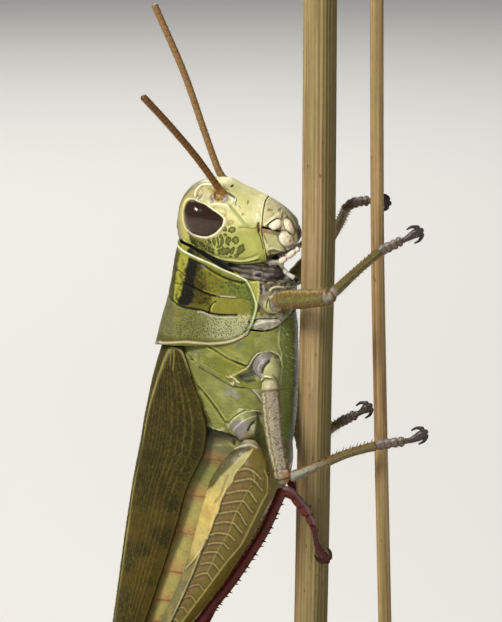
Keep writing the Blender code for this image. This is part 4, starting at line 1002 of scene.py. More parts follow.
COLLAR = [(-7.3, 43.92), (-6.07, 43.66), (-4.94, 43.14), (-3.85, 42.58), (-2.41, 42.0), (-1.86, 41.7),
          (-0.6, 41.62), (1.2, 41.5)]


def length_along(skin):
    """Distance in mm of each ring from the first one, along the form's middle."""
    middle = skin.points.mean(axis=1)
    steps = np.linalg.norm(np.diff(middle, axis=0), axis=1)
    return np.concatenate([[0], np.cumsum(steps)])[:, None] * np.ones(skin.points.shape[1])


def make_feelers():
    """Feelers of a thick base and many short rings, with short hairs."""
    for word, route in ANTENNAE.items():
        skin = limb(sized(route, FEELER_SIZES), 360, 22, (134, 88, 34))
        run = length_along(skin)
        joint = np.where(run > 1.25, np.abs((run - 1.25) / 0.43 % 1 - 0.5), 0)
        skin.push(-0.035 * ramp(joint, 0.38, 0.5) * (run > 1.25))
        skin.shade(joint, 0.34, 0.46, 0.75, (58, 34, 14))
        skin.shade(run, 1.2, 0.6, 0.5, (168, 128, 62))
        if word == "left":
            skin.paint(0.45, (140, 118, 80))
        skin.paint(skin.cloud(0.12, 4, 0.1, 0.8) * 0.35, (96, 60, 22))
        skin.mottle(0.1, 0.1)
        hairs = fuzz(skin, 120, 0.12, (150, 110, 60), lean=(0, 0, 0.4), salt=5, mask=ramp(run, 1.2, 1.6))
        join(f"feeler_{word}", [skin, *hairs], "antenna", HORN, [f"antenna_{word}"])


def make_palps():
    """Two pairs of jointed palps with short hairs."""
    for word, side in SIDES:
        skin = limb(mirrored(UPPER_PALP, side), 120, 30, (228, 216, 196))
        skin.shade(skin.x, 0.22, 0.14, 0.8, (140, 130, 118))
        for joint in (0.2, 0.74, 1.3):
            skin.paint(bump(skin.x - joint, 0.035) * 0.75, (116, 96, 72))
        skin.mottle(0.12, 0.08)
        hairs = fuzz(skin, 80, 0.14, (230, 224, 206), lean=(0.5, 0, -0.2), salt=6, radius=0.01)
        join(f"palp_upper_{word}", [skin, *hairs], "palp", WAX, [f"maxillary_palp_{word}"])
        skin = limb(mirrored(LOWER_PALPS[word], side), 110, 30, (214, 206, 194))
        share = places(skin)[0]
        skin.paint(bump(share - 0.56, 0.012) * 0.7, (120, 100, 76))
        skin.shade(share, 0.56, 0.6, 0.8, (224, 222, 222))
        skin.paint(ramp(share, 0.8, 0.84), (20, 17, 14))
        skin.shade(skin.x, 0.25, -0.1, 0.5, (150, 142, 130))
        skin.mottle(0.12, 0.08)
        hairs = fuzz(skin, 50, 0.11, (230, 224, 206), lean=(0.5, 0, -0.3), salt=7, radius=0.01)
        join(f"palp_lower_{word}", [skin, *hairs], "palp", WAX, [f"labial_palp_{word}"])


def sleeve(section, back, belly, width, top, bottom, levels, colour, start=FLAT, end=FLAT):
    """A trunk piece between two edges seen from the side, with ends that follow those edges."""
    depth_share, width_share = section
    share = np.linspace(0, 1, levels)[:, None]
    back, belly, width = (profile(rows)(share) for rows in (back, belly, width))
    x = back + (belly - back) * depth_share
    z = top(x) + (bottom(x) - top(x)) * share
    return Skin(with_ends(np.stack([x, width * width_share, z], axis=-1), start, end), colour)


def barrel_section(sides, square=2.6):
    """Shares of a barrel section, from the back (0) to the belly (1) and outwards."""
    turn = np.arange(sides) * 2 * math.pi / sides
    return 0.5 - 0.5 * power(np.cos(turn), 2 / square), power(np.sin(turn), 2 / square)


def lowered(rows, drop):
    """A smooth edge moved down by a drop in mm."""
    edge = profile(rows)
    return lambda x: edge(x) - drop


def make_neck():
    """Folded skin between head and collar, with painted shade in the troughs of the folds and the small plate
    that shows below the cheek.
    """
    skin = sleeve(barrel_section(210), [(0, -3.6), (1, -3.6)], [(0, 0.1), (1, 0.3)], [(0, 2.05), (1, 2.15)],
                  profile(NECK_FRONT), lowered(COLLAR, -0.05), 76, (96, 88, 74))
    fold = np.sin(skin.z * 15 + 1.2 * skin.noise(0.6, 3) + skin.x * 2.2)
    skin.push(0.05 * fold + 0.04 * skin.noise(0.3, 4))
    # dark in the troughs of the folds: painted shade
    skin.shade(fold, -0.2, -0.9, 0.7, (34, 26, 16))
    skin.paint(skin.cloud(0.4, 8, 0.1, 0.5) * 0.6, (142, 136, 134))
    skin.paint(skin.cloud(0.35, 9, 0.2, 0.6) * 0.6, (52, 36, 20))
    oval = skin.distance([(-1.3, 42.1), (-1.1, 42.1)])
    skin.push(0.12 * ramp(oval, 0.34, 0.2) - 0.06 * ramp(oval, 0.14, 0.04))
    skin.shade(oval, 0.36, 0.26, 0.9, (150, 140, 132))
    skin.shade(oval, 0.2, 0.1, 0.9, (40, 26, 18))
    skin.mottle(0.2, 0.14)
    join("neck_skin", [skin], "membrane", SOFT, ["neck"])


# --- pronotum -----------------------------------------------------------------------------------
PRONOTUM_REAR = [(-8.95, 36.55), (-8.28, 36.95), (-6.93, 37.04), (-5.2, 37.13), (-4.1, 37.2), (-2.68, 37.53),
                 (-1.84, 37.97), (-1.66, 38.3), (-0.82, 38.22), (0.08, 38.42), (0.7, 38.85), (1.2, 39.4)]
PRONOTUM_BACK = [(0, -7.2), (0.2, -7.52), (0.4, -7.76), (0.6, -8.06), (0.8, -8.5), (1, -8.92)]
PRONOTUM_HEM = [(0, -1.86), (0.25, -1.46), (0.47, -1.18), (0.7, -1.37), (1, -1.75)]
PRONOTUM_WIDTH = [(0, 2.58), (0.25, 2.75), (0.5, 2.86), (0.8, 3.06), (1, 3.2)]
STRIPE_LEFT = [(-6.7, 44.3), (-6.8, 43.76), (-7.01, 42.74), (-7.12, 41.72), (-7.24, 40.82), (-7.28, 39.9)]
STRIPE_RIGHT = [(-6.1, 44.3), (-6.16, 43.68), (-6.24, 42.73), (-6.38, 42.04), (-6.5, 41.32), (-6.7, 40.59),
                (-6.96, 39.9)]
BLACK_RIGHT = [(-5.7, 44.0), (-5.65, 43.5), (-5.32, 42.77), (-5.45, 42.14), (-5.6, 41.42), (-5.55, 40.84),
               (-5.75, 40.25), (-6.1, 39.72)]
MID_SULCUS = [(-6.3, 41.38), (-5.88, 41.24), (-5.39, 41.03), (-4.97, 40.86), (-4.37, 40.66), (-3.9, 40.6)]
LAST_SULCUS = [(-8.1, 40.35), (-7.4, 40.12), (-6.99, 39.92), (-6.35, 39.73), (-5.25, 39.61), (-4.53, 39.4),
               (-3.7, 39.3), (-3.0, 39.31), (-2.63, 39.33)]
FRONT_GROOVE = [(-6.0, 43.2), (-5.5, 43.0), (-5.0, 42.75), (-4.52, 42.47), (-3.98, 42.16), (-3.27, 41.85),
                (-2.62, 41.68), (-2.15, 41.6)]
COLLAR_RIM = [(-7.1, 43.95), (-6.4, 43.66), (-5.6, 43.35), (-4.9, 43.07), (-4.21, 42.76), (-3.33, 42.37),
              (-2.56, 42.06), (-2.0, 41.77)]
HEM = [(-2.0, 41.77), (-1.78, 41.4), (-1.64, 41.17), (-1.4, 40.6), (-1.24, 40.06), (-1.36, 39.32),
       (-1.63, 38.54), (-1.83, 38.13)]
REAR_RIM = [(-1.83, 38.13), (-2.4, 37.72), (-3.12, 37.43), (-4.61, 37.24), (-6.11, 37.3), (-7.0, 37.22),
            (-8.2, 37.05)]
# meets the back of the head
COLLAR_EDGE = [(x, z + 0.3 * float(ramp(-x, 4.2, 5.8))) for x, z in COLLAR]


def saddle_section(disc=70, lobe=120, share=0.36, square=2.7):
    """Shares of a section with a crowned back and two flat side lobes with rounded hems."""
    turn = np.linspace(0, math.pi / 2, disc + 1)[1:]
    down = np.linspace(0, 1, lobe + 1)[1:]
    depth = np.concatenate([share * (1 - np.cos(turn) ** (2 / square)), share + (1 - share) * down,
                            [1.006, 1.004, 0.985, 0.96, 0.95]])
    width = np.concatenate([np.sin(turn) ** (2 / square), 1 - 0.07 * down ** 2,
                            [0.918, 0.9, 0.885, 0.86, 0.6]])
    return np.concatenate([depth[::-1], [0], depth]), np.concatenate([-width[::-1], [0], width])


def tone_pronotum(skin, hind, first, second):
    """Broad colours of the side before the furrows (first), between them (second) and behind them."""
    x = skin.x
    skin.paint(first * ramp(x, -4.4, -2.8) * 0.8, (88, 102, 44))
    skin.paint(first * skin.patch((-2.0, 41.15), 0.55, 0.5) * 0.6, (84, 104, 54))
    skin.paint(second * ramp(x, -4.6, -4.3) * 0.85, (136, 134, 52))
    skin.paint(second * ramp(x, -2.2, -1.6) * 0.6, (104, 116, 58))
    skin.shade(x, -6.9, -7.4, 0.9, (82, 80, 42))
    skin.paint(hind * ramp(x, -7.2, -6.6) * 0.85, (92, 94, 34))
    skin.paint(hind * ramp(x, -5.8, -3.0) * 0.85, (118, 126, 78))
    skin.paint(hind * ramp(x, -3.6, -2.2) * 0.6, (158, 150, 112))
    skin.paint(skin.near([(-3.4, 39.1), (-2.6, 39.1), (-1.9, 39.2)], 0.22) * 0.7, (182, 172, 108))


def grain_pronotum(skin, hind, first, second):
    """Round pits with pale walls behind the last furrow, and clouds and fine pits before it."""
    x, z = skin.x, skin.z
    near, far = cells(skin.points, 0.135, 11)
    pitted = hind * ramp(z, 37.45, 37.75)
    pits = pitted * ramp(near, 0.42, 0.2) * ramp(x - z, -46.4, -44.4)
    skin.push(-0.035 * pits)
    skin.paint(pits * 0.7, (52, 56, 24))
    skin.paint(pitted * ramp(far - near, 0.32, 0.12) * (0.15 + 0.5 * ramp(x, -5.6, -3.4)), (186, 186, 146))
    middle, edge = cells(skin.points, 0.3, 15)
    skin.paint(first * ramp(x, -5.6, -4.6) * ramp(edge - middle, 0.3, 0.08) * 0.3, (154, 150, 60))
    skin.paint(first * ramp(middle, 0.24, 0.1) * 0.5, (74, 82, 24))
    blotch = skin.cloud(0.24, 23, 0.15, 0.5)
    skin.paint((first * ramp(x, -4.6, -3.6) + second * ramp(x, -2.6, -1.9)) * blotch * 0.5, (74, 94, 44))
    skin.paint(first * skin.cloud(0.3, 24, 0.1, 0.6) * ramp(x, -3.6, -5.0) * 0.3, (142, 132, 30))
    fine = cells(skin.points, 0.12, 19)[0]
    skin.push(-0.014 * (1 - hind) * ramp(fine, 0.5, 0.15))
    skin.paint((1 - hind) * ramp(fine, 0.3, 0.1) * 0.2, (66, 66, 18))


def stripe_pronotum(skin, hind):
    """The keel over the back, the yellow stripe and the black band below it."""
    keel_line = ramp(skin.y, 0.28, 0.08) * (skin.x < -6)
    skin.push(0.06 * keel_line)
    skin.paint(keel_line * 0.4, (104, 96, 52))
    stripe = skin.band(STRIPE_LEFT, STRIPE_RIGHT, 0.07, 0.05)
    skin.paint(stripe, (142, 140, 52))
    skin.paint(stripe * skin.cloud(0.12, 6, 0.0, 0.6, 0.3) * 0.5, (164, 160, 74))
    fade = skin.band(STRIPE_RIGHT, [(a + 0.45 + 0.5 * (b < 41.2), b) for a, b in BLACK_RIGHT], 0.35, 0.5)
    skin.paint(fade * (1 - hind) * 0.75, (66, 56, 14))
    skin.paint(fade * (1 - hind) * skin.cloud(0.13, 43, 0.0, 0.4) * 0.7, (34, 28, 8))
    black = skin.band(STRIPE_RIGHT, shifted(BLACK_RIGHT, -0.1, 0), 0.09, 0.12)
    skin.paint(black, (20, 19, 10))
    skin.push(-0.02 * black)
    skin.paint(black * skin.cloud(0.16, 41, 0.35, 0.75) * 0.35, (62, 58, 24))
    skin.paint(skin.band([(-7.4, 43.7), (-7.5, 40.2)], STRIPE_LEFT, 0.08, 0.1) * 0.7, (58, 58, 32))


def groove_pronotum(skin):
    """Furrows over the back and sides, near black partly by their own colour and partly by painted shade,
    with the pale ridges beside them; the pale line above the middle furrow is a painted highlight and the one
    below the last furrow a painted sheen.
    """
    # sulcus: near-black furrows, partly their own colour and partly painted shade
    dark, sulcus = (54, 52, 16), (14, 13, 8)
    skin.draw(([(-7.28, 42.35), (-6.79, 42.24), (-6.31, 41.99)], 0.045, -0.05, dark, 0.9),
              ([(-7.21, 41.38), (-6.83, 41.35), (-6.5, 41.31)], 0.045, -0.05, dark, 0.9),
              (shifted(COLLAR_RIM, 0, -0.13), 0.13, 0.02, (132, 140, 62), 0.9),
              (FRONT_GROOVE, 0.065, -0.09, (30, 28, 12), 0.95),
              (shifted(FRONT_GROOVE[2:], 0.08, -0.2), 0.07, 0.03, (150, 146, 54), 0.6),
              (MID_SULCUS, 0.085, -0.12, sulcus, 1.0),
              # the pale line above the middle furrow is a painted highlight
              (shifted(MID_SULCUS[3:], -0.02, 0.15), 0.07, 0.03, (150, 146, 62), 0.6),
              ([(-4.05, 40.66), (-3.72, 40.62), (-3.2, 40.59), (-2.75, 40.57)], 0.06, 0.05, (206, 190, 150),
               0.85),
              ([(-3.9, 40.56), (-3.2, 40.5), (-2.3, 40.5), (-1.8, 40.42)], 0.05, -0.04, (96, 98, 36), 0.7),
              (LAST_SULCUS, 0.08, -0.13, sulcus, 0.97),
              # the pale line below the last furrow is a painted sheen
              ([(-5.4, 39.44), (-5.13, 39.46), (-4.65, 39.28), (-4.17, 39.15), (-3.46, 39.11), (-2.6, 39.15)],
               0.055, 0.06, (176, 174, 158), 0.75),
              ([(-4.13, 40.24), (-4.36, 40.05), (-4.53, 39.8), (-4.59, 39.51)], 0.06, -0.08, (34, 28, 10),
               0.95),
              ([(-4.22, 40.1), (-4.4, 39.8), (-4.42, 39.58)], 0.05, 0.03, (182, 176, 90), 0.6),
              ([(-7.9, 0.1, 41.6), (-7.8, 0.9, 41.6), (-7.3, 2.0, 41.45)], 0.07, -0.07, (36, 34, 14), 0.8),
              ([(-7.7, 0.1, 42.5), (-7.6, 0.9, 42.5), (-7.1, 1.95, 42.4)], 0.06, -0.05, (44, 42, 18), 0.7))


def spot_pronotum(skin, flank):
    """Two dark rings before the furrows, and small dark and dull spots."""
    for centre in ((-5.1, 42.05), (-5.24, 41.38)):
        ring = skin.oval(centre, 0.19, 0.24) + 0.3 * skin.noise(0.14, 5)
        skin.paint(bump(ring - 0.9, 0.25) * flank * 0.8, (60, 56, 16))
    specks = [(-1.49, 40.01), (-1.57, 39.74), (-4.84, 40.45), (-3.44, 41.61), (-3.2, 41.65), (-3.03, 41.62),
              (-2.32, 41.51), (-5.26, 40.08), (-2.6, 41.2), (-1.7, 40.45)]
    skin.dab((-5.05, 42.69, 0.22, 0.09, -35, (120, 116, 112), 0.9),
             *[(a, b, 0.065, 0.05, 0, (28, 28, 14), 0.95) for a, b in specks],
             (-3.72, 41.27, 0.16, 0.07, 25, (66, 70, 34), 0.8),
             (-4.5, 41.18, 0.12, 0.05, 0, (84, 80, 20), 0.7), (-2.91, 41.45, 0.2, 0.1, 20, (74, 90, 44), 0.6),
             (-4.84, 40.45, 0.13, 0.1, 0, (56, 46, 14), 0.6))


def rim_pronotum(skin):
    """Rolled pale rims along the collar, the hem and the hind edge, with painted shade along the inner side
    of the hem.
    """
    skin.draw((HEM, 0.07, 0.06, (200, 204, 156), 0.95),
              # the dark line inside the hem is painted shade
              (shifted(HEM, -0.2, 0), 0.08, -0.03, (76, 88, 40), 0.7),
              (COLLAR_RIM, 0.055, 0.06, (232, 230, 200), 1.0),
              ([(-7.0, 1.95, 43.98), (-7.3, 1.4, 44.08), (-7.45, 0.7, 44.12), (-7.5, 0.0, 44.12)], 0.055,
               0.05, (176, 172, 120), 0.8),
              (REAR_RIM, 0.08, 0.06, (188, 174, 140), 0.95),
              ([(-8.1, 2.6, 37.05), (-8.6, 1.9, 36.87), (-8.95, 1.0, 36.66), (-9.05, 0.0, 36.62)], 0.075,
               0.05, (160, 148, 108), 0.8),
              (shifted(REAR_RIM, 0, 0.17), 0.05, -0.04, (92, 84, 46), 0.7))


def make_pronotum():
    """The saddle: rolled collar and hem, cross furrows, keels, stripes and the pitted hind part."""
    rim = ((0.992, 0.05), (0.975, 0.06), (0.955, 0.03), (0.94, -0.12), (0.93, -0.4), (0.5, -0.5))
    skin = sleeve(saddle_section(58, 116), PRONOTUM_BACK, PRONOTUM_HEM, PRONOTUM_WIDTH, profile(COLLAR_EDGE),
                  profile(PRONOTUM_REAR), 214, (100, 97, 32), rim, rim)
    flank = ramp(skin.y, 1.6, 2.2)
    hind, before = skin.beyond(LAST_SULCUS), skin.beyond(MID_SULCUS + [(-2.9, 40.59), (-1.0, 40.5)])
    first, second = (1 - before) * flank, before * (1 - hind) * flank
    tone_pronotum(skin, hind, first, second)
    grain_pronotum(skin, hind, first, second)
    stripe_pronotum(skin, hind)
    groove_pronotum(skin)
    spot_pronotum(skin, flank)
    rim_pronotum(skin)
    skin.roughen((0.02, 0.6, 27), (0.008, 0.15, 28))
    # painted shade in the hollows and painted highlight on the ridges
    skin.mottle(0.4, 0.1, 7).mottle(0.13, 0.08, 8).paint_relief_shading()
    join("pronotum_saddle", [skin], "pronotum_shell", MATT, ["pronotum"])


# --- underside of the first segment -----------------------------------------------------------------
FORE_COXA = [(-0.9, 1.7, 40.35, 0.75, 0.85), (-0.15, 2.45, 40.25, 0.68, 0.78), (0.22, 2.85, 40.4, 0.5, 0.6)]
MIDDLE_COXA = [(-0.9, 2.35, 36.0, 0.75, 0.95), (-0.35, 2.95, 35.35, 0.7, 0.86), (-0.2, 3.1, 34.75, 0.5, 0.6)]
HIND_COXA = [(-2.4, 2.4, 32.2, 0.8, 1.15), (-1.95, 3.2, 31.3, 0.7, 1.0), (-1.72, 3.5, 30.75, 0.5, 0.7)]


def make_prothorax():
    """The soft underside of the first segment, between the hems, with its folds, painted shade in their
    troughs and a painted shadow under the hem.
    """
    hem = [(share, x - 1.5) for share, x in PRONOTUM_HEM]
    skin = sleeve(barrel_section(240), hem, [(0, 0.75), (0.3, 1.12), (0.7, 1.12), (1, 1.05)],
                  [(0, 2.38), (0.4, 2.6), (1, 2.72)], lowered(COLLAR, 0.07), lowered(PRONOTUM_REAR, -0.07),
                  126, (150, 152, 62))
    pale, dark = (204, 204, 146), (50, 42, 24)
    folds = skin.noise(0.22, 3)
    skin.paint(ramp(skin.x, -1.08, -0.95) * ramp(skin.z, 39.2, 39.5) * 0.95, (98, 86, 66))
    skin.paint(ramp(skin.x, -1.0, -0.9) * ramp(folds, 0.1, 0.5) * 0.6, (156, 146, 140))
    # dark in the troughs of the folds: painted shade
    skin.paint(ramp(skin.x, -1.0, -0.9) * ramp(folds, -0.1, -0.5) * 0.7, (64, 52, 34))
    skin.push(0.05 * folds * ramp(skin.x, -1.0, -0.8))
    skin.shade(skin.z, 39.35, 39.1, 0.95, (150, 144, 130))
    skin.paint(ramp(skin.x, 0.4, 0.9) * ramp(skin.y, 2.2, 1.6) * 0.8, (104, 112, 68))
    skin.draw(([(-1.5, 41.62), (-1.3, 41.7), (-1.12, 41.56), (-1.08, 41.0), (-1.16, 40.2)], 0.06, 0.06, pale,
               0.95),
              # the near-black line under the hem is a painted shadow
              ([(-0.98, 41.5), (-0.94, 41.0), (-1.02, 40.2), (-1.1, 39.6)], 0.09, -0.1, (30, 24, 14), 0.95),
              ([(-0.59, 40.39), (-0.68, 40.71), (-0.55, 41.12)], 0.08, -0.06, dark, 0.85),
              ([(-0.28, 40.94), (-0.3, 41.14), (0.03, 41.3), (0.52, 41.22)], 0.07, 0.06, (224, 218, 180),
               0.85),
              ([(-0.8, 41.35), (-0.72, 41.0), (-0.8, 40.75)], 0.09, 0.03, (160, 150, 160), 0.8),
              ([(-1.55, 38.9), (-1.3, 38.98), (-0.7, 39.1), (0.2, 39.1)], 0.06, -0.07, dark, 0.9),
              ([(-1.59, 38.6), (-1.28, 38.66), (-0.57, 38.9), (0.33, 38.92)], 0.09, 0.05, (204, 198, 176),
               0.85),
              ([(-1.1, 38.35), (-0.4, 38.3), (0.3, 38.55), (0.75, 38.95)], 0.05, -0.06, (60, 54, 34), 0.8))
    skin.roughen((0.02, 0.4, 3), (0.006, 0.1, 4))
    # painted shade in the hollows and painted highlight on the ridges
    skin.mottle(0.3, 0.1).mottle(0.1, 0.06).paint_relief_shading()
    hairs = fuzz(skin, 90, 0.26, (206, 204, 180), lean=(0.4, 0, -0.5), salt=9, mask=ramp(skin.x, 0.2, 0.7),
                 radius=0.011)
    join("chest_floor", [skin, *hairs], "thorax_shell", WAX, ["prothorax"])


# --- middle and hind thorax ----------------------------------------------------------------------------
MIDDLE_SUTURE = [(-8.0, 36.0), (-5.93, 35.95), (-5.21, 35.72), (-4.13, 35.24), (-3.19, 34.66), (-2.33, 34.3),
                 (-1.25, 34.05), (0.6, 33.9), (1.3, 33.9)]
THORAX_END = [(-8.0, 31.6), (-6.0, 31.3), (-4.0, 30.9), (-2.0, 30.3), (0.0, 29.7), (1.3, 29.5)]


def plate_grain(skin, salt):
    """Shallow pits, ripples and clouds of the side plates, darker towards the back by painted shade."""
    # darker towards the back: painted shade
    skin.shade(skin.x, -2.2, -5.2, 0.4, (100, 102, 40))
    skin.paint(skin.cloud(0.55, salt + 7, 0.05, 0.6) * 0.3, (92, 98, 36))
    skin.paint(skin.cloud(0.4, salt + 8, 0.15, 0.7) * 0.3, (172, 172, 112))
    near, far = cells(skin.points, 0.15, salt)
    skin.push(-0.018 * ramp(near, 0.5, 0.15) * skin.cloud(0.9, salt + 2, -0.3, 0.3))
    skin.shade(near, 0.34, 0.1, 0.3, (80, 84, 30))
    skin.paint(ramp(far - near, 0.2, 0.05) * skin.cloud(0.7, salt + 3, -0.1, 0.5) * 0.3, (176, 176, 112))
    skin.roughen((0.022, 0.5, salt + 1), (0.006, 0.12, salt + 4))
    # painted shade in the hollows and painted highlight on the ridges
    skin.mottle(0.5, 0.12, salt + 5).mottle(0.14, 0.08, salt + 6).paint_relief_shading()


def sternum_paint(skin, salt):
    """Paints the flat underside between the legs, darker towards the middle line by painted shade, and gives
    its short hairs.
    """
    ridge = [(0.38, 39.0), (0.3, 37.38), (0.5, 36.37), (0.5, 35.4), (0.42, 34.38), (0.35, 32.0), (0.2, 30.0)]
    under = 1 - skin.beyond(ridge, "x", 0.12)
    skin.paint(under * 0.95, (118, 130, 62))
    # darker towards the middle line: painted shade
    skin.paint(under * ramp(skin.y, 1.6, 0.6) * 0.5, (96, 106, 46))
    skin.draw((ridge[:5], 0.06, 0.06, (186, 188, 134), 0.75))
    return fuzz(skin, 110, 0.34, (196, 200, 180), lean=(0.3, 0, -0.6), salt=salt, mask=under, radius=0.01)


FIRST_LINE = [(-4.59, 36.95), (-3.94, 36.63), (-3.28, 36.24), (-2.56, 35.94), (-1.92, 35.71)]
SECOND_LINE = [(-6.09, 36.25), (-5.65, 35.81), (-4.87, 35.44), (-4.28, 35.12), (-3.63, 34.85), (-3.25, 34.6)]
THIRD_LINE = [(-5.41, 34.06), (-4.89, 33.51), (-4.38, 32.89), (-3.88, 32.17), (-3.46, 31.51)]
MIDDLE_SOCKET = [(-1.88, 35.49), (-1.64, 35.78), (-1.36, 36.29), (-0.95, 36.65), (-0.34, 36.73),
                 (0.19, 36.51), (0.5, 36.01), (0.6, 35.5)]
HIND_SOCKET = [(-3.33, 30.98), (-2.82, 31.77), (-2.24, 32.24), (-1.69, 32.45), (-1.01, 32.41), (-0.5, 32.2)]
# dark slits beside the middle and hind hips: painted shade in the gaps between hip and socket
MIDDLE_SLIT = [(-0.2, 36.21), (-0.45, 35.97), (-0.63, 35.71), (-0.7, 35.4)]
HIND_SLIT = [(-1.25, 31.75), (-1.45, 31.55), (-1.62, 31.2)]
# near black: partly the furrows' own colour, partly painted shade
FURROW = (22, 20, 10)


def make_middle_thorax():
    """The side plates before the middle suture, with the socket of the middle hip, painted shade towards the
    back and a painted highlight below the first furrow.
    """
    meso = sleeve(barrel_section(310), [(0, -7.75), (1, -7.85)], [(0, 1.08), (0.35, 1.26), (1, 1.28)],
                  [(0, 2.98), (0.4, 3.12), (1, 3.2)], lowered(PRONOTUM_REAR, 0.12), profile(MIDDLE_SUTURE),
                  120, (126, 130, 60))
    lilac, slate = (122, 115, 112), (48, 50, 50)
    meso.paint(meso.beyond(FIRST_LINE) * ramp(meso.x, -1.2, -1.8) * 0.85, (118, 122, 40))
    meso.paint(meso.beyond(SECOND_LINE) * ramp(meso.x, -3.2, -3.6) * 0.8, (148, 152, 86))
    meso.paint(meso.near([(-3.2, 36.7), (-2.6, 36.4), (-2.0, 36.1)], 0.3) * 0.4, (172, 166, 84))
    # darker towards the back, next to the wing covers: painted shade
    meso.shade(meso.x, -5.4, -6.2, 0.7, (98, 96, 60))
    meso.dab((-2.35, 37.2, 0.42, 0.12, 24, (112, 114, 104), 0.9),
             (-5.6, 36.5, 0.4, 0.16, -20, (106, 104, 106), 0.8))
    inner = [(-1.5, 35.5), (-1.29, 36.0), (-0.88, 36.37), (-0.27, 36.42), (0.19, 36.15)]
    meso.draw((FIRST_LINE, 0.055, -0.09, FURROW, 1.0),
              # the pale line below the first furrow is a painted highlight
              (shifted(FIRST_LINE, -0.03, -0.14), 0.06, 0.04, (160, 150, 62), 0.7),
              (shifted(FIRST_LINE, 0.05, 0.13), 0.06, 0.03, (176, 174, 92), 0.5),
              (SECOND_LINE, 0.07, -0.1, FURROW, 1.0),
              (shifted(SECOND_LINE, 0.02, 0.15), 0.06, 0.04, (150, 146, 58), 0.6),
              (shifted(MIDDLE_SOCKET, -0.1, 0.02), 0.06, -0.07, (46, 46, 20), 0.95),
              (MIDDLE_SOCKET, 0.08, 0.12, (186, 184, 138), 1.0), (inner, 0.17, -0.12, lilac, 0.95),
              (shifted(inner, 0.06, -0.14), 0.05, 0.03, (196, 184, 172), 0.6),
              ([(-1.5, 35.25), (-1.0, 35.25), (-0.7, 35.5)], 0.14, -0.08, (92, 72, 42), 0.8),
              # the black slit is painted shade in the gap beside the hip
              ([(-0.2, 36.21), (-0.45, 35.97), (-0.63, 35.71), (-0.7, 35.45)], 0.09, -0.12, (12, 10, 6), 1.0),
              ([(-2.3, 34.93), (-1.77, 35.0), (-1.35, 35.06)], 0.24, -0.16, slate, 0.97),
              ([(-2.2, 34.72), (-1.77, 34.6), (-1.3, 34.7)], 0.12, -0.06, (40, 28, 20), 0.9),
              ([(-1.95, 35.02), (-1.6, 35.06)], 0.07, 0.0, (96, 98, 110), 0.7),
              ([(-3.35, 34.78), (-3.0, 34.94), (-2.7, 35.06), (-2.27, 35.3), (-1.99, 35.48)], 0.055, 0.06,
               (206, 192, 110), 1.0),
              ([(-3.2, 34.68), (-2.85, 34.84), (-2.6, 34.9)], 0.06, -0.03, (104, 88, 50), 0.7),
              ([(-3.0, 34.92), (-2.78, 34.83), (-2.58, 34.62), (-2.4, 34.5)], 0.045, 0.06, (230, 222, 188),
               0.95))
    plate_grain(meso, 51)
    hairs = sternum_paint(meso, 13)
    join("thorax_middle", [meso, *hairs], "thorax_shell", WAX, ["mesothorax"])


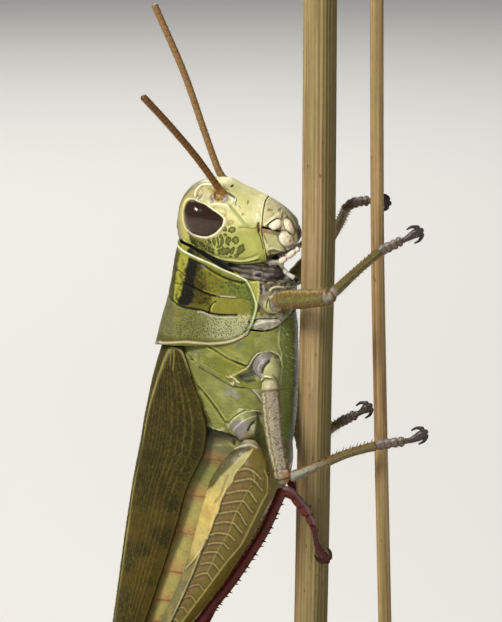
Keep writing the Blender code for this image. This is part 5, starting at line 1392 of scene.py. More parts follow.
def make_hind_thorax():
    """The side plates behind the middle suture, with the socket of the hind hip, a painted highlight in the
    middle, painted shade towards the back and a painted shadow where the abdomen meets them.
    """
    meta = sleeve(barrel_section(310), [(0, -7.85), (1, -7.6)], [(0, 1.28), (0.6, 1.12), (1, 0.92)],
                  [(0, 3.2), (0.5, 3.12), (1, 2.85)], lowered(MIDDLE_SUTURE, 0.06), profile(THORAX_END), 126,
                  (126, 130, 64))
    edge = [(-6.01, 35.33), (-5.5, 34.3), (-5.13, 33.3), (-4.77, 32.25), (-4.4, 31.3)]
    meta.paint(meta.beyond(THIRD_LINE) * ramp(meta.x, -3.3, -3.7) * 0.85, (138, 142, 62))
    # the pale patch in the middle is a painted highlight
    meta.paint(meta.near([(-4.6, 34.6), (-3.9, 34.0), (-3.5, 33.2)], 0.4) * 0.35, (172, 174, 104))
    # dark towards the back: painted shade
    meta.paint(meta.beyond(edge, "x") * 0.9, (40, 32, 14))
    meta.paint(meta.band([(-1.7, 34.3), (-0.6, 32.6)], [(0.4, 34.3), (0.4, 32.6)], 0.1) * 0.5,
               (140, 140, 112))
    meta.dab((-3.05, 33.75, 0.5, 0.2, 14, (140, 138, 132), 0.9),
             (-2.62, 33.5, 0.34, 0.14, -20, (136, 132, 130), 0.9),
             (-3.2, 34.1, 0.3, 0.16, 35, (142, 142, 112), 0.7),
             # the near-black spots at the hind end are a painted shadow between thorax and abdomen
             (-3.24, 30.46, 0.4, 0.3, 0, (26, 18, 10), 0.9), (-2.6, 30.2, 0.4, 0.24, 0, (34, 26, 16), 0.9))
    hollow = [(-2.66, 31.4), (-2.45, 31.83), (-1.95, 32.17), (-1.3, 32.12), (-0.8, 32.0)]
    meta.draw((THIRD_LINE, 0.07, -0.11, FURROW, 1.0),
              (shifted(THIRD_LINE, 0.12, 0.1), 0.07, 0.04, (178, 174, 88), 0.6),
              (shifted(THIRD_LINE[1:], -0.14, -0.06), 0.06, 0.03, (160, 160, 78), 0.5),
              ([(-5.3, 35.45), (-4.6, 35.1), (-3.7, 34.62), (-3.2, 34.3)], 0.06, -0.05, FURROW, 0.8),
              ([(-3.0, 34.25), (-2.3, 34.12), (-1.6, 34.12)], 0.06, -0.07, FURROW, 0.95),
              ([(-1.56, 34.04), (-1.14, 33.53), (-0.83, 32.93)], 0.04, -0.05, (70, 72, 50), 0.8),
              ([(-1.45, 34.0), (-1.0, 33.53), (-0.7, 33.0)], 0.05, 0.03, (196, 190, 180), 0.7),
              (shifted(HIND_SOCKET, -0.1, 0.06), 0.06, -0.06, (84, 84, 48), 0.9),
              (HIND_SOCKET, 0.075, 0.12, (182, 180, 130), 1.0), (hollow, 0.2, -0.12, (124, 117, 114), 0.95),
              # the black slit is painted shade in the gap beside the hip
              (HIND_SLIT, 0.08, -0.1, (22, 18, 10), 0.95),
              ([(-4.38, 31.0), (-4.2, 30.85), (-3.84, 30.87), (-3.5, 31.05)], 0.06, 0.07, (220, 208, 186),
               0.95))
    knob = meta.oval((-2.85, 34.4), 0.2, 0.15, -20)
    meta.push(0.14 * ramp(knob, 1.1, 0.3))
    meta.paint(ramp(knob, 1.3, 1.0), (60, 46, 26))
    meta.shade(knob, 0.9, 0.5, 0.9, (214, 202, 160))
    plate_grain(meta, 71)
    hairs = sternum_paint(meta, 17)
    join("thorax_hind", [meta, *hairs], "thorax_shell", WAX, ["metathorax"])


def mark_hip(skin, pair):
    """Seams, ridges and soft skin of one hip, with painted shade in the slit beside the middle and hind hips.
    """
    black, lilac, rim = (12, 10, 6), (122, 115, 112), (182, 180, 130)
    if pair == "fore":
        skin.paint(ramp(skin.z, 40.35, 40.6) * ramp(skin.x, 0.15, -0.1) * 0.9, (118, 106, 84))
        skin.shade(skin.x, -0.6, -0.8, 0.8, (104, 92, 72))
        skin.draw(([(-0.5, 40.0), (-0.42, 40.4), (-0.2, 40.85), (0.1, 41.0)], 0.06, -0.06, (50, 40, 24), 0.9),
                  ([(-0.18, 40.75), (0.1, 40.95), (0.4, 41.0)], 0.08, 0.06, (232, 226, 190), 0.95),
                  ([(0.05, 40.45), (0.05, 40.05)], 0.22, -0.05, (112, 106, 128), 0.95),
                  ([(-0.2, 40.5), (-0.2, 40.05), (0.05, 39.75), (0.35, 39.72)], 0.05, -0.05, (58, 44, 26),
                   0.9))
    elif pair == "middle":
        skin.paint(skin.beyond([(0.0, 36.6), *MIDDLE_SLIT, (-0.7, 34.6)], "x", 0.06) * 0.95, lilac)
        # the black slit is painted shade in the gap beside the hip
        skin.draw((MIDDLE_SLIT, 0.1, -0.12, black, 1.0),
                  (shifted(MIDDLE_SLIT, -0.32, 0.1), 0.05, 0.03, (190, 178, 166), 0.7),
                  ([(-0.05, 35.1), (-0.4, 35.16), (-0.75, 34.8)], 0.06, 0.07, (222, 216, 176), 0.95),
                  ([(-0.1, 34.95), (-0.45, 34.97), (-0.75, 34.6)], 0.04, -0.05, (78, 58, 30), 0.95),
                  ([(-0.28, 34.75), (-0.52, 34.72), (-0.72, 34.4)], 0.04, 0.05, (196, 184, 136), 0.9),
                  ([(0.1, 35.3), (0.3, 34.9), (0.3, 34.6)], 0.05, -0.04, (108, 84, 44), 0.8))
    else:
        outside = skin.beyond(shifted(HIND_SOCKET, -0.1, 0), "x", 0.05) * ramp(skin.z, 31.0, 31.3)
        skin.shade(skin.x, -1.5, -1.9, 0.9, lilac)
        skin.paint(outside, (126, 130, 64))
        skin.draw((HIND_SOCKET, 0.08, 0.07, rim, 1.0),
                  (shifted(HIND_SOCKET, -0.1, 0.07), 0.05, -0.06, (80, 78, 44), 0.9),
                  (shifted(HIND_SOCKET, 0.33, -0.36), 0.05, 0.03, (196, 184, 172), 0.7),
                  # the black slit is painted shade in the gap beside the hip
                  (HIND_SLIT, 0.09, -0.1, black, 1.0),
                  ([(-1.2, 31.5), (-1.3, 31.1)], 0.16, 0.03, (186, 180, 146), 0.7))


def make_coxae():
    """The six hips."""
    looks = {"fore": (FORE_COXA, "walking_leg", (170, 168, 116)),
             "middle": (MIDDLE_COXA, "walking_leg", (164, 162, 112)),
             "hind": (HIND_COXA, "thorax_shell", (118, 120, 80))}
    for word, side in SIDES:
        for pair, (stations, slot, paint) in looks.items():
            skin = limb(mirrored(stations, side), *counts(side, 100, 92), paint)
            mark_hip(skin, pair)
            skin.paint(ramp(places(skin)[0], 0.9, 0.97) * 0.5, (112, 96, 60))
            skin.roughen((0.02, 0.4, 5), (0.01, 0.12, 6))
            # painted shade in the hollows and painted highlight on the ridges
            skin.mottle(0.25, 0.12).mottle(0.09, 0.1).paint_relief_shading()
            join(f"{pair}_{word}_hip", [skin], slot, WAX, [f"{pair}_{word}_coxa"])


# --- abdomen ------------------------------------------------------------------------------------------
ABDOMEN = (31.0, 12.6)
ABDOMEN_SIDES = 172
ABDOMEN_BACK = [(12.6, -10.75), (14.0, -10.6), (18.0, -9.7), (22.0, -8.9), (26.0, -8.3), (31.6, -7.6)]
ABDOMEN_BELLY = [(12.6, -9.1), (13.5, -7.9), (15.0, -6.75), (17.0, -5.35), (19.0, -4.15), (21.0, -3.05),
                 (23.0, -1.95), (25.0, -0.95), (26.5, -0.2), (28.0, 0.45), (29.5, 0.88)]
RING_EDGES = [31.0, 28.6, 25.6, 22.7, 19.7, 17.5, 15.8, 14.5, 13.5, 12.6]
ABDOMEN_WIDTH = [(12.6, 0.55), (14.0, 1.25), (17.0, 1.95), (21.0, 2.35), (26.0, 2.5), (31.6, 2.6)]
VALVES = {"upper": (-10.25, -0.45), "lower": (-9.55, 0.35)}
VALVE_SHAPE = [(0.0, 0.42, 0.34), (0.45, 0.36, 0.28), (1.0, 0.2, 0.14)]


def paint_abdomen(skin, share, within, depth):
    """Bands, pleat and holes, from shares down the abdomen, within each ring and from back to belly, with
    painted light on the lower rings and a painted shadow where the abdomen meets the thorax.
    """
    skin.shade(depth, 0.35, 0.1, 0.6, (104, 88, 40))
    skin.shade(depth, 0.7, 0.95, 0.8, (162, 148, 96))
    # paler towards the lower rings: painted light
    skin.paint(ramp(skin.z, 27.6, 25.0) * ramp(depth, 0.95, 0.7) * 0.6, (196, 176, 104))
    skin.shade(skin.z, 27.4, 28.8, 0.7, (96, 102, 76))
    skin.shade(within, 0.55, 0.92, 0.6, (184, 132, 82))
    skin.shade(within, 0.96, 0.99, 0.5, (128, 84, 48))
    skin.shade(within, 0.2, 0.0, 0.55, (174, 122, 76))
    skin.paint(ramp(within, 0.08, 0.2) * ramp(within, 0.62, 0.4) * ramp(depth, 0.25, 0.45) * 0.4,
               (156, 160, 84))
    pleat = bump(depth - 0.66, 0.03)
    skin.push(-0.1 * pleat)
    skin.paint(pleat * 0.6, (110, 102, 56))
    hole = np.hypot((within - 0.25) / 0.09, (depth - 0.56) / 0.02)
    skin.push(-0.05 * ramp(hole, 1.2, 0.6))
    skin.paint(ramp(hole, 1.2, 0.8), (40, 28, 14))
    skin.paint(bump(hole - 1.5, 0.3) * 0.6, (190, 180, 120))
    drum = np.hypot((share - 0.045) / 0.02, (depth - 0.42) / 0.06)
    skin.push(-0.1 * ramp(drum, 1.1, 0.8))
    skin.shade(drum, 1.15, 0.9, 0.8, (120, 108, 72))
    # near black at the top, next to the thorax: painted shadow
    skin.shade(skin.z, 29.7, 30.4, 0.92, (34, 27, 15))
    spots = skin.cloud(0.12, 9, 0.45, 0.7)
    skin.paint(spots * ramp(depth, 0.9, 0.7) * 0.45, (88, 76, 34))
    skin.roughen((0.02, 0.35, 3), (0.008, 0.1, 4))
    skin.mottle(0.3, 0.1).mottle(0.1, 0.08)


def make_abdomen():
    """Nine overlapping rings with breathing holes, orange hind bands and a soft pleat along each side."""
    top = lowered(THORAX_END, 0.05)
    section_depth, section_width = barrel_section(ABDOMEN_SIDES)
    share = np.linspace(0, 1, 300)[:, None]
    height = ABDOMEN[0] + (ABDOMEN[1] - ABDOMEN[0]) * share
    back, belly, width = (profile(rows)(height) for rows in (ABDOMEN_BACK, ABDOMEN_BELLY, ABDOMEN_WIDTH))
    ring_places = RING_EDGES[::-1], np.arange(len(RING_EDGES))[::-1]
    within = np.interp(height, *ring_places) % 1
    swell = 0.07 * ramp(within, 0.0, 0.8) * ramp(within, 0.999, 0.93)
    back, belly, width = back - swell, belly + swell, width + swell
    x = back + (belly - back) * section_depth
    z = top(x) + (ABDOMEN[1] - top(x)) * share
    points = np.stack([x, width * section_width, z], axis=-1)
    skin = Skin(with_ends(points, FLAT, ((0.97, 0.06), (0.8, 0.12), (0.4, 0.14))), (140, 137, 70))
    share = np.concatenate([np.zeros(3), share.ravel(), np.ones(3)])[:, None] * np.ones(ABDOMEN_SIDES)
    within = np.interp(ABDOMEN[0] + (ABDOMEN[1] - ABDOMEN[0]) * share, *ring_places) % 1
    depth = np.ones((len(share), 1)) * section_depth
    paint_abdomen(skin, share, within, depth)
    hairs = fuzz(skin, 260, 0.22, (214, 206, 170), lean=(0, 0, -0.8), salt=3, mask=ramp(depth, 0.5, 0.9))
    join("abdomen_rings", [skin, *hairs], "abdomen_shell", WAX, ["abdomen"])


def make_egg_valves():
    """The two dark-tipped valves at the end of the abdomen."""
    for word, (root, lean) in VALVES.items():
        stations = [(root + lean * share ** 2, 0, ABDOMEN[1] - 0.03 - 1.65 * share, across, deep)
                    for share, across, deep in VALVE_SHAPE]
        skin = limb(stations, 60, 48, (128, 108, 60))
        share, out, _ = places(skin)
        skin.push(-0.09 * bump(out, 0.16) * ramp(share, 0.0, 0.2))
        skin.paint(ramp(share, 0.55, 0.95), (34, 22, 12))
        skin.mottle(0.15, 0.12)
        join(f"egg_valve_{word}", [skin], "abdomen_shell", HORN, [f"ovipositor_{word}"])


# --- wing covers --------------------------------------------------------------------------------------
WINGS = [(36.78, -8.35, -6.62, 2.75), (36.2, -8.52, -6.4, 2.95), (34.36, -9.08, -5.78, 3.08),
         (32.3, -9.55, -5.05, 3.16), (30.8, -9.85, -4.78, 3.18), (29.4, -10.08, -4.92, 3.16),
         (26.4, -10.65, -6.25, 3.08), (23.3, -11.15, -7.12, 2.95), (18.75, -11.8, -8.6, 2.5),
         (15.0, -12.35, -9.95, 2.1), (12.4, -12.72, -11.2, 1.75), (11.0, -12.92, -12.1, 1.45)]


def draw_veins(skin, place, arc, outer):
    """Long veins as ridges and a net of cross veins between them; place is a share of the arc across."""
    for k, line in enumerate((0.06, 0.13, 0.21, 0.3, 0.37, 0.43, 0.49, 0.56, 0.63, 0.72, 0.8, 0.88)):
        wave = line + 0.01 * np.sin(skin.z * 0.5 + k) - 0.05 * ramp(skin.z, 30, 12) * (k - 5) / 5
        gap = (place - wave) * arc
        broken = skin.cloud(0.5, 40 + k, -0.5, 0.5, 0.25)
        pale = (0.6 if k in (8, 9, 10, 11) else 0.28) * (0.35 + 0.65 * broken)
        skin.push(0.035 * bump(gap, 0.06) * outer)
        skin.paint(bump(gap, 0.08) * outer * pale, (98, 88, 34))
        skin.paint(bump(gap - 0.16, 0.07) * outer * 0.35 * broken, (28, 24, 6))
    first, second = cells(np.stack([place * arc * 3.6, skin.z * 3.0, 0 * place], axis=-1), 1.0, 33)
    vein = ramp(second - first, 0.14, 0.03) * outer
    skin.push(0.015 * vein)
    skin.paint(vein * 0.25, (88, 80, 34))


def make_wings():
    """Leathery covers: long veins as ridges, a net of cross veins between them, a pale bend stripe."""
    square, thick, edge = 2.5, 0.5, math.asin(0.45 ** 1.25)
    stations = [(0, 0, z, crown, front, width) for z, crown, front, width in WINGS]
    for word, side, start in (("right", -1, edge + 0.05), ("left", 1, 0.05 - edge)):
        levels, across = counts(side, 320, 140)
        rows, turn = smooth_rows(stations, levels), np.linspace(start, math.pi / 2, across)
        height, crown, front, width = (rows[:, k][:, None] for k in (2, 3, 4, 5))
        layers = []
        for inset, angle in ((0, turn), (thick, turn[::-4])):
            x = crown + inset + (front - crown - inset) * (1 - np.cos(angle) ** (2 / square))
            y = side * (width - inset) * power(np.sin(angle), 2 / square)
            layers.append(np.stack([x, y, height + 0 * x], axis=-1))
        skin = Skin(np.concatenate(layers, axis=1), (54, 47, 12))
        count = len(turn)
        place = np.concatenate([np.linspace(0, 1, count),
                                np.linspace(1, 0, len(turn[::-4]))]) * np.ones((len(rows), 1))
        outer = (np.arange(skin.x.shape[1]) < count) * np.ones((len(rows), 1))
        arc = np.linalg.norm(np.diff(skin.points[:, :count], axis=1), axis=-1).sum(axis=1)[:, None]
        skin.paint(ramp(np.abs(skin.points[..., 1]), 2.0, 1.3) * 0.5, (84, 76, 46))
        draw_veins(skin, place, arc, outer)
        skin.paint(skin.cloud(0.09, 16, 0.0, 0.4, 0.6) * outer * 0.55, (36, 32, 10))
        skin.paint(skin.cloud(0.08, 17, 0.3, 0.7, 0.6) * outer * 0.4, (104, 92, 38))
        skin.paint(skin.cloud(0.9, 6, 0.1, 0.6) * outer * 0.4, (40, 34, 8))
        skin.paint(ramp(skin.z, 29, 22) * skin.cloud(1.2, 7, -0.4, 0.4) * outer * 0.45, (92, 76, 22))
        bend_y = np.interp(skin.z, (11, 16, 22.8, 28.5, 32.2, 34.5, 36.4),
                           (0.85, 1.3, 1.65, 1.46, 1.75, 2.22, 2.65))
        bend = bump(np.abs(skin.points[..., 1]) - bend_y, 0.11) * outer
        skin.push(0.05 * bend)
        skin.paint(bend * ramp(skin.z, 10, 24) * 0.9, (138, 132, 74))
        front_edge = [(-7.24, 36.81), (-6.62, 36.5), (-6.2, 35.6), (-5.9, 34.9)]
        skin.draw((front_edge, 0.07, 0.04, (150, 144, 92), 0.8),
                  ([(-7.33, 36.81), (-7.14, 36.58), (-7.15, 35.87), (-7.23, 35.14)], 0.05, 0.03,
                   (146, 140, 78), 0.7),
                  ([(-7.55, 36.64), (-7.39, 36.2), (-7.47, 35.47)], 0.05, 0.03, (128, 122, 60), 0.7))
        skin.paint(ramp(place, 0.965, 0.99) * outer * 0.25, (84, 68, 26))
        # painted shade in the hollows and painted highlight on the ridges
        skin.mottle(0.3, 0.12).mottle(0.1, 0.1).paint_relief_shading(0.18)
        join(f"wing_cover_{word}", [skin], "wing", MATT, [f"tegmen_{word}"])


# --- legs -----------------------------------------------------------------------------------------------
# half sizes, across and deep, at the places that LEGS gives for a thigh, a shin and a foot
FOOT_SIZES = [(0.27, 0.3), (0.3, 0.36), (0.26, 0.32), (0.28, 0.34), (0.25, 0.25), (0.28, 0.36), (0.2, 0.3)]
LEG_SIZES = {
    "fore": (
        [(0.5, 0.52), (0.62, 0.66), (0.64, 0.68), (0.55, 0.6), (0.55, 0.62), (0.38, 0.42)],
        [(0.3, 0.34), (0.32, 0.36), (0.3, 0.33), (0.27, 0.3), (0.27, 0.31)],
        FOOT_SIZES),
    "middle": (
        [(0.48, 0.52), (0.58, 0.64), (0.6, 0.66), (0.56, 0.6), (0.5, 0.54), (0.5, 0.56), (0.34, 0.38)],
        [(0.3, 0.33), (0.32, 0.35), (0.3, 0.33), (0.27, 0.3), (0.27, 0.31)],
        FOOT_SIZES)}
LEGS = {
    ("fore", "right"): (
        [(0.32, 3.0, 40.52), (0.9, 3.3, 40.7), (2.2, 3.95, 40.93), (3.5, 4.62, 41.2), (4.2, 4.9, 41.36),
         (4.55, 5.05, 41.46)],
        [(4.62, 4.95, 41.72), (5.0, 4.6, 42.05), (5.6, 3.95, 42.6), (6.4, 3.05, 43.3), (7.28, 2.05, 44.0)],
        [(7.42, 1.9, 44.12), (7.8, 1.72, 44.3), (8.22, 1.6, 44.48), (8.62, 1.5, 44.7), (9.1, 1.42, 44.9),
         (9.75, 1.28, 45.3), (10.1, 1.2, 45.48)]),
    ("fore", "left"): (
        [(0.3, 3.0, 40.62), (0.75, 3.25, 41.05), (1.5, 3.75, 41.85), (2.2, 4.25, 42.55), (2.62, 4.5, 43.0),
         (2.78, 4.62, 43.25)],
        [(2.92, 4.45, 43.52), (3.25, 3.95, 44.1), (3.75, 3.1, 44.95), (4.2, 2.2, 45.8), (4.55, 1.35, 46.5)],
        [(4.68, 1.12, 46.68), (5.1, 0.98, 46.92), (5.55, 0.92, 47.06), (5.95, 0.9, 47.12),
         (6.5, 0.9, 47.14), (7.15, 0.9, 47.12), (7.5, 0.9, 47.02)]),
    ("middle", "right"): (
        [(-0.2, 3.2, 34.6), (-0.1, 3.42, 33.9), (0.1, 3.85, 32.4), (0.38, 4.3, 30.7), (0.8, 4.62, 28.95),
         (1.02, 4.74, 28.2), (1.1, 4.78, 27.86)],
        [(1.62, 4.6, 28.18), (2.2, 4.32, 28.38), (3.5, 3.65, 28.85), (5.4, 2.65, 29.55), (7.15, 2.0, 29.98)],
        [(7.35, 1.9, 30.02), (7.85, 1.72, 30.08), (8.4, 1.62, 30.18), (8.9, 1.52, 30.24),
         (9.5, 1.45, 30.34), (10.2, 1.32, 30.62), (10.58, 1.28, 30.92)]),
    ("middle", "left"): (
        [(-0.2, 3.2, 34.6), (-0.1, 3.45, 33.8), (0.15, 3.95, 32.0), (0.5, 4.5, 30.1), (0.85, 4.9, 28.5),
         (1.02, 5.02, 27.7), (1.1, 5.08, 27.35)],
        [(1.55, 4.7, 27.86), (1.95, 4.2, 28.3), (2.6, 3.3, 29.1), (3.4, 2.1, 30.0), (4.0, 1.25, 30.6)],
        [(4.12, 1.1, 30.72), (4.5, 0.95, 30.98), (4.9, 0.9, 31.2), (5.25, 0.88, 31.4), (5.65, 0.86, 31.62),
         (6.05, 0.86, 31.9), (6.3, 0.86, 32.1)])}
HIND_FEMUR = [(-1.52, 3.72, 30.26, 0.42, 0.55), (-1.58, 4.12, 29.3, 0.78, 1.4),
              (-1.83, 4.38, 28.0, 0.92, 1.98), (-2.24, 4.5, 26.6, 1.0, 2.22), (-3.1, 4.56, 24.3, 1.0, 2.05),
              (-4.05, 4.56, 22.0, 0.9, 1.7), (-5.09, 4.5, 19.85, 0.76, 1.38), (-6.13, 4.4, 18.1, 0.66, 1.12),
              (-7.26, 4.3, 16.3, 0.58, 0.88), (-8.4, 4.22, 14.5, 0.55, 0.74), (-9.2, 4.16, 13.15, 0.66, 0.92),
              (-9.75, 4.12, 12.25, 0.6, 0.84), (-10.05, 4.1, 11.7, 0.3, 0.42)]
HIND_TIBIA = [(-8.1, 4.1, 12.5, 0.32, 0.4), (-7.55, 4.08, 13.3, 0.28, 0.36), (-4.3, 3.95, 18.0, 0.27, 0.34),
              (-2.98, 3.85, 19.75, 0.27, 0.34), (-1.45, 3.7, 22.15, 0.28, 0.34),
              (-0.4, 3.55, 24.0, 0.28, 0.34), (0.38, 3.35, 25.9, 0.3, 0.35), (0.68, 3.2, 26.65, 0.34, 0.38)]
HIND_FOOT_SIZES = [(0.3, 0.34), (0.3, 0.38), (0.27, 0.34), (0.28, 0.38), (0.25, 0.27), (0.25, 0.25),
                   (0.25, 0.27), (0.28, 0.36), (0.2, 0.28)]
HIND_FEET = {
    "right": [(0.78, 3.12, 26.72), (1.25, 2.98, 26.5), (1.75, 2.82, 25.95), (2.2, 2.68, 25.3),
              (2.62, 2.55, 24.55), (2.95, 2.42, 23.5), (3.12, 2.35, 22.5), (3.5, 2.32, 21.8),
              (3.78, 2.3, 21.5)],
    "left": [(-0.28, 3.05, 26.35), (0.2, 2.55, 26.1), (0.75, 2.0, 25.5), (1.2, 1.5, 24.8),
             (1.55, 1.1, 24.0), (1.8, 0.9, 23.0), (1.95, 0.88, 22.0), (2.1, 0.88, 21.2), (2.2, 0.88, 20.85)]}
HIP = Vector((-1.6, 3.5, 30.5))
FAR_SWING = math.radians(-2.5)
FAR_ANKLE = (-0.5, 3.09, 26.03)
CLAW_HOOK = [(0.03, 0.0, 1.0), (0.55, 0.22, 0.85), (0.95, -0.15, 0.6), (1.0, -0.7, 0.3)]


def swung(stations):
    """Stations of the near hind leg turned about the hip, for the far one."""
    turn = Matrix.Rotation(FAR_SWING, 4, "Y")
    return [(*(HIP + turn @ (Vector(row[:3]) - HIP)), *row[3:]) for row in stations]


def far_hind_tibia():
    """The far shin runs straight from the swung knee to its own ankle."""
    knee = Vector(swung(HIND_TIBIA)[0][:3])
    span = len(HIND_TIBIA) - 1
    return [(*knee.lerp(Vector(FAR_ANKLE), k / span), *row[3:]) for k, row in enumerate(HIND_TIBIA)]


def around(skin):
    """Angle in degrees round each ring of a limb, from its +Y side towards its deep side."""
    return np.arange(skin.x.shape[1]) * 360 / skin.x.shape[1] * np.ones((skin.x.shape[0], 1))


def keel(skin, angle, width, height, mask=1.0):
    """A ridge along a limb at an angle round it."""
    gap = np.abs((around(skin) - angle + 180) % 360 - 180)
    skin.push(height * (bump(gap, width) * mask))


def make_foot(name, stations, side, slot, paint, dark, pad):
    """Three jointed segments, the first with pads beneath, then two claws with a soft pad between."""
    rows = mirrored(stations, side)
    skin = limb(rows, *counts(side, 190, 46), paint)
    share, _, deep = places(skin)
    tip_colour = tuple(int(0.6 * value) for value in paint)
    skin.shade(share, 0.4, 0.46, 0.7, tuple(int(0.8 * value) for value in paint))
    for at, depth in ((0.15, 0.03), (0.29, 0.03), (0.43, 0.08), (0.57, 0.09)):
        cleft = bump(share - at, 0.016)
        skin.push(-depth * cleft)
        skin.paint(cleft * 0.8, dark)
    skin.push(0.05 * bump(share - 0.5, 0.04))
    skin.push(-0.06 * ramp(share, 0.57, 0.62) * ramp(share, 0.95, 0.8))
    skin.push(0.05 * bump(share % 0.145 - 0.075, 0.04) * ramp(share, 0.44, 0.4) * np.abs(deep))
    skin.paint(ramp(deep, 0.3, 0.8) * ramp(share, 0.6, 0.5) * 0.6, pad)
    skin.shade(share, 0.57, 0.66, 0.9, tip_colour)
    skin.paint(ramp(np.abs(deep), 0.75, 1.0) * ramp(share, 0.6, 0.5) * 0.4, dark)
    skin.roughen((0.012, 0.2, 3))
    skin.mottle(0.15, 0.14)
    end = Vector(rows[-1][:3])
    curl = (end - Vector(rows[-3][:3])).normalized()
    out_way = Vector((0, 1, 0)).cross(curl).normalized()
    parts = [skin]
    for way in (-1.0, 1.0):
        start = end - curl * 0.13
        hook = [(*(start + out_way * (way * 0.56 * far) + curl * (0.8 * along)), 0.19 * size, 0.19 * size)
                for far, along, size in CLAW_HOOK]
        claw = limb(hook, 44, 16, tip_colour)
        claw.paint(ramp(places(claw)[0], 0.25, 0.7), (26, 17, 10))
        parts.append(claw)
    tip = end + curl * 0.28
    lump = limb([(*(end - curl * 0.1), 0.12, 0.14), (*(end + curl * 0.1), 0.19, 0.24), (*tip, 0.1, 0.14)],
                26, 24, tip_colour)
    parts.append(lump)
    parts += fuzz(skin, 60, 0.18, (190, 180, 150), lean=(0.2, 0, -0.3), salt=23, radius=0.009)
    join(name.replace("tarsus", "foot"), parts, slot, WAX, [name])


# thigh, shin and foot
WALKING_COLOURS = {"fore": ((104, 100, 46), (96, 88, 46), (98, 86, 76)),
                   "middle": ((138, 130, 100), (108, 94, 58), (104, 92, 80))}
BROWN = (84, 58, 30)


def make_walking_thigh(pair, word, side, stations, colour):
    """A thigh with four keels, fine long lines, specks and a banded knee; on the front thighs the pale line
    along the top is a painted highlight.
    """
    amber = (112, 82, 36)
    skin = limb(mirrored(stations, side), *counts(side, 230, 76), colour)
    share, out, deep = places(skin)
    out = out * side
    for angle, width in ((55, 12), (125, 12), (-60, 14), (-120, 14)):
        keel(skin, angle, width, 0.045, ramp(share, 0.05, 0.15) * ramp(share, 0.98, 0.88))
    wave = 0.03 * np.sin(share * 46) + 0.03 * np.sin(share * 83 + 1)
    if pair == "middle":
        skin.paint(ramp(out, 0.0, 0.3) * ramp(deep, -0.5, -0.1) * 0.4, (166, 152, 142))
        lines = ((-0.62, 0.09, 0.02, (192, 186, 150), 0.8), (-0.36, 0.05, -0.015, (112, 86, 54), 0.65),
                 (-0.14, 0.06, 0.015, (182, 174, 142), 0.5), (-0.84, 0.06, -0.015, (116, 84, 36), 0.7))
        skin.shade(deep, 0.8, 0.95, 0.8, amber)
        skin.shade(deep, -0.9, -0.98, 0.8, amber)
        speck = 0.75
    else:
        skin.shade(deep, 0.42, 0.6, 0.85, amber)
        skin.shade(deep, -0.1, -0.3, 0.85, (108, 78, 34))
        # the first, pale line along the top of the front thigh is a painted highlight
        lines = ((0.9, 0.1, 0.02, (196, 178, 116), 0.6), (-0.2, 0.05, -0.03, BROWN, 0.7),
                 (0.44, 0.05, -0.02, BROWN, 0.6))
        speck = 0.6
    for at, width, height, colour, strength in lines:
        line = bump(deep - at - wave, width) * ramp(out, -0.1, 0.3) * ramp(share, 0.07, 0.14)
        line = line * ramp(share, 0.95, 0.88)
        skin.push(height * line)
        skin.paint(line * strength, colour)
    skin.paint(skin.cloud(0.075, 6, 0.15, 0.5) * speck, (84, 72, 44))
    skin.paint(skin.cloud(0.09, 8, 0.35, 0.7) * 0.4, (200, 190, 156) if pair == "middle" else (150, 140, 80))
    knee = ramp(share, 0.88, 0.94)
    skin.push(0.05 * bump(share - 0.93, 0.04) - 0.04 * bump(share - 0.875, 0.01))
    skin.paint(bump(share - 0.88, 0.012) * 0.7, BROWN)
    skin.paint(knee * ramp(deep, -0.2, 0.4) * 0.6, (150, 98, 48) if pair == "middle" else (128, 112, 84))
    skin.paint(bump(share - 0.97, 0.012) * 0.8, (70, 40, 22))
    skin.shade(share, 0.1, 0.04, 0.8, (186, 180, 138) if pair == "middle" else (122, 104, 72))
    skin.paint(bump(share - 0.085, 0.012) * 0.8, (92, 62, 30))
    if pair == "fore":
        skin.paint(skin.near([(4.2, 5.3, 41.4)], 0.28) * 0.7, (150, 146, 146))
    skin.roughen((0.014, 0.3, 7), (0.006, 0.1, 8))
    skin.mottle(0.3, 0.1).mottle(0.1, 0.1)
    hairs = fuzz(skin, 120, 0.16, (190, 182, 150), lean=(0.2, 0, -0.6), salt=31, radius=0.009)
    join(f"{pair}_{word}_thigh", [skin, *hairs], "walking_leg", HORN, [f"{pair}_{word}_femur"])


def walking_spines(middle, pair):
    """Two rows of short spines on a shin with this middle line."""
    spines = []
    along = (middle[-6] - middle[6]) / np.linalg.norm(middle[-6] - middle[6])
    deep_way = np.cross(along, (0, 1, 0))
    deep_way /= np.linalg.norm(deep_way)
    for k in range(8):
        for way in (-1, 1):
            at = int((0.36 + 0.6 * (k + 0.25 * way) / 7.5) * len(middle))
            rise = -1 if pair == "fore" and way > 0 else 1
            lean = deep_way * 0.85 * rise + along * 0.75 + np.array([0, way * 0.4, 0])
            root = middle[at] + deep_way * 0.2 * rise + np.array([0, way * 0.1, 0])
            size = 0.27 if pair == "fore" else 0.36
            spines.append(cone(root, root + lean * size, 0.042, (58, 38, 22), 7))
    return spines


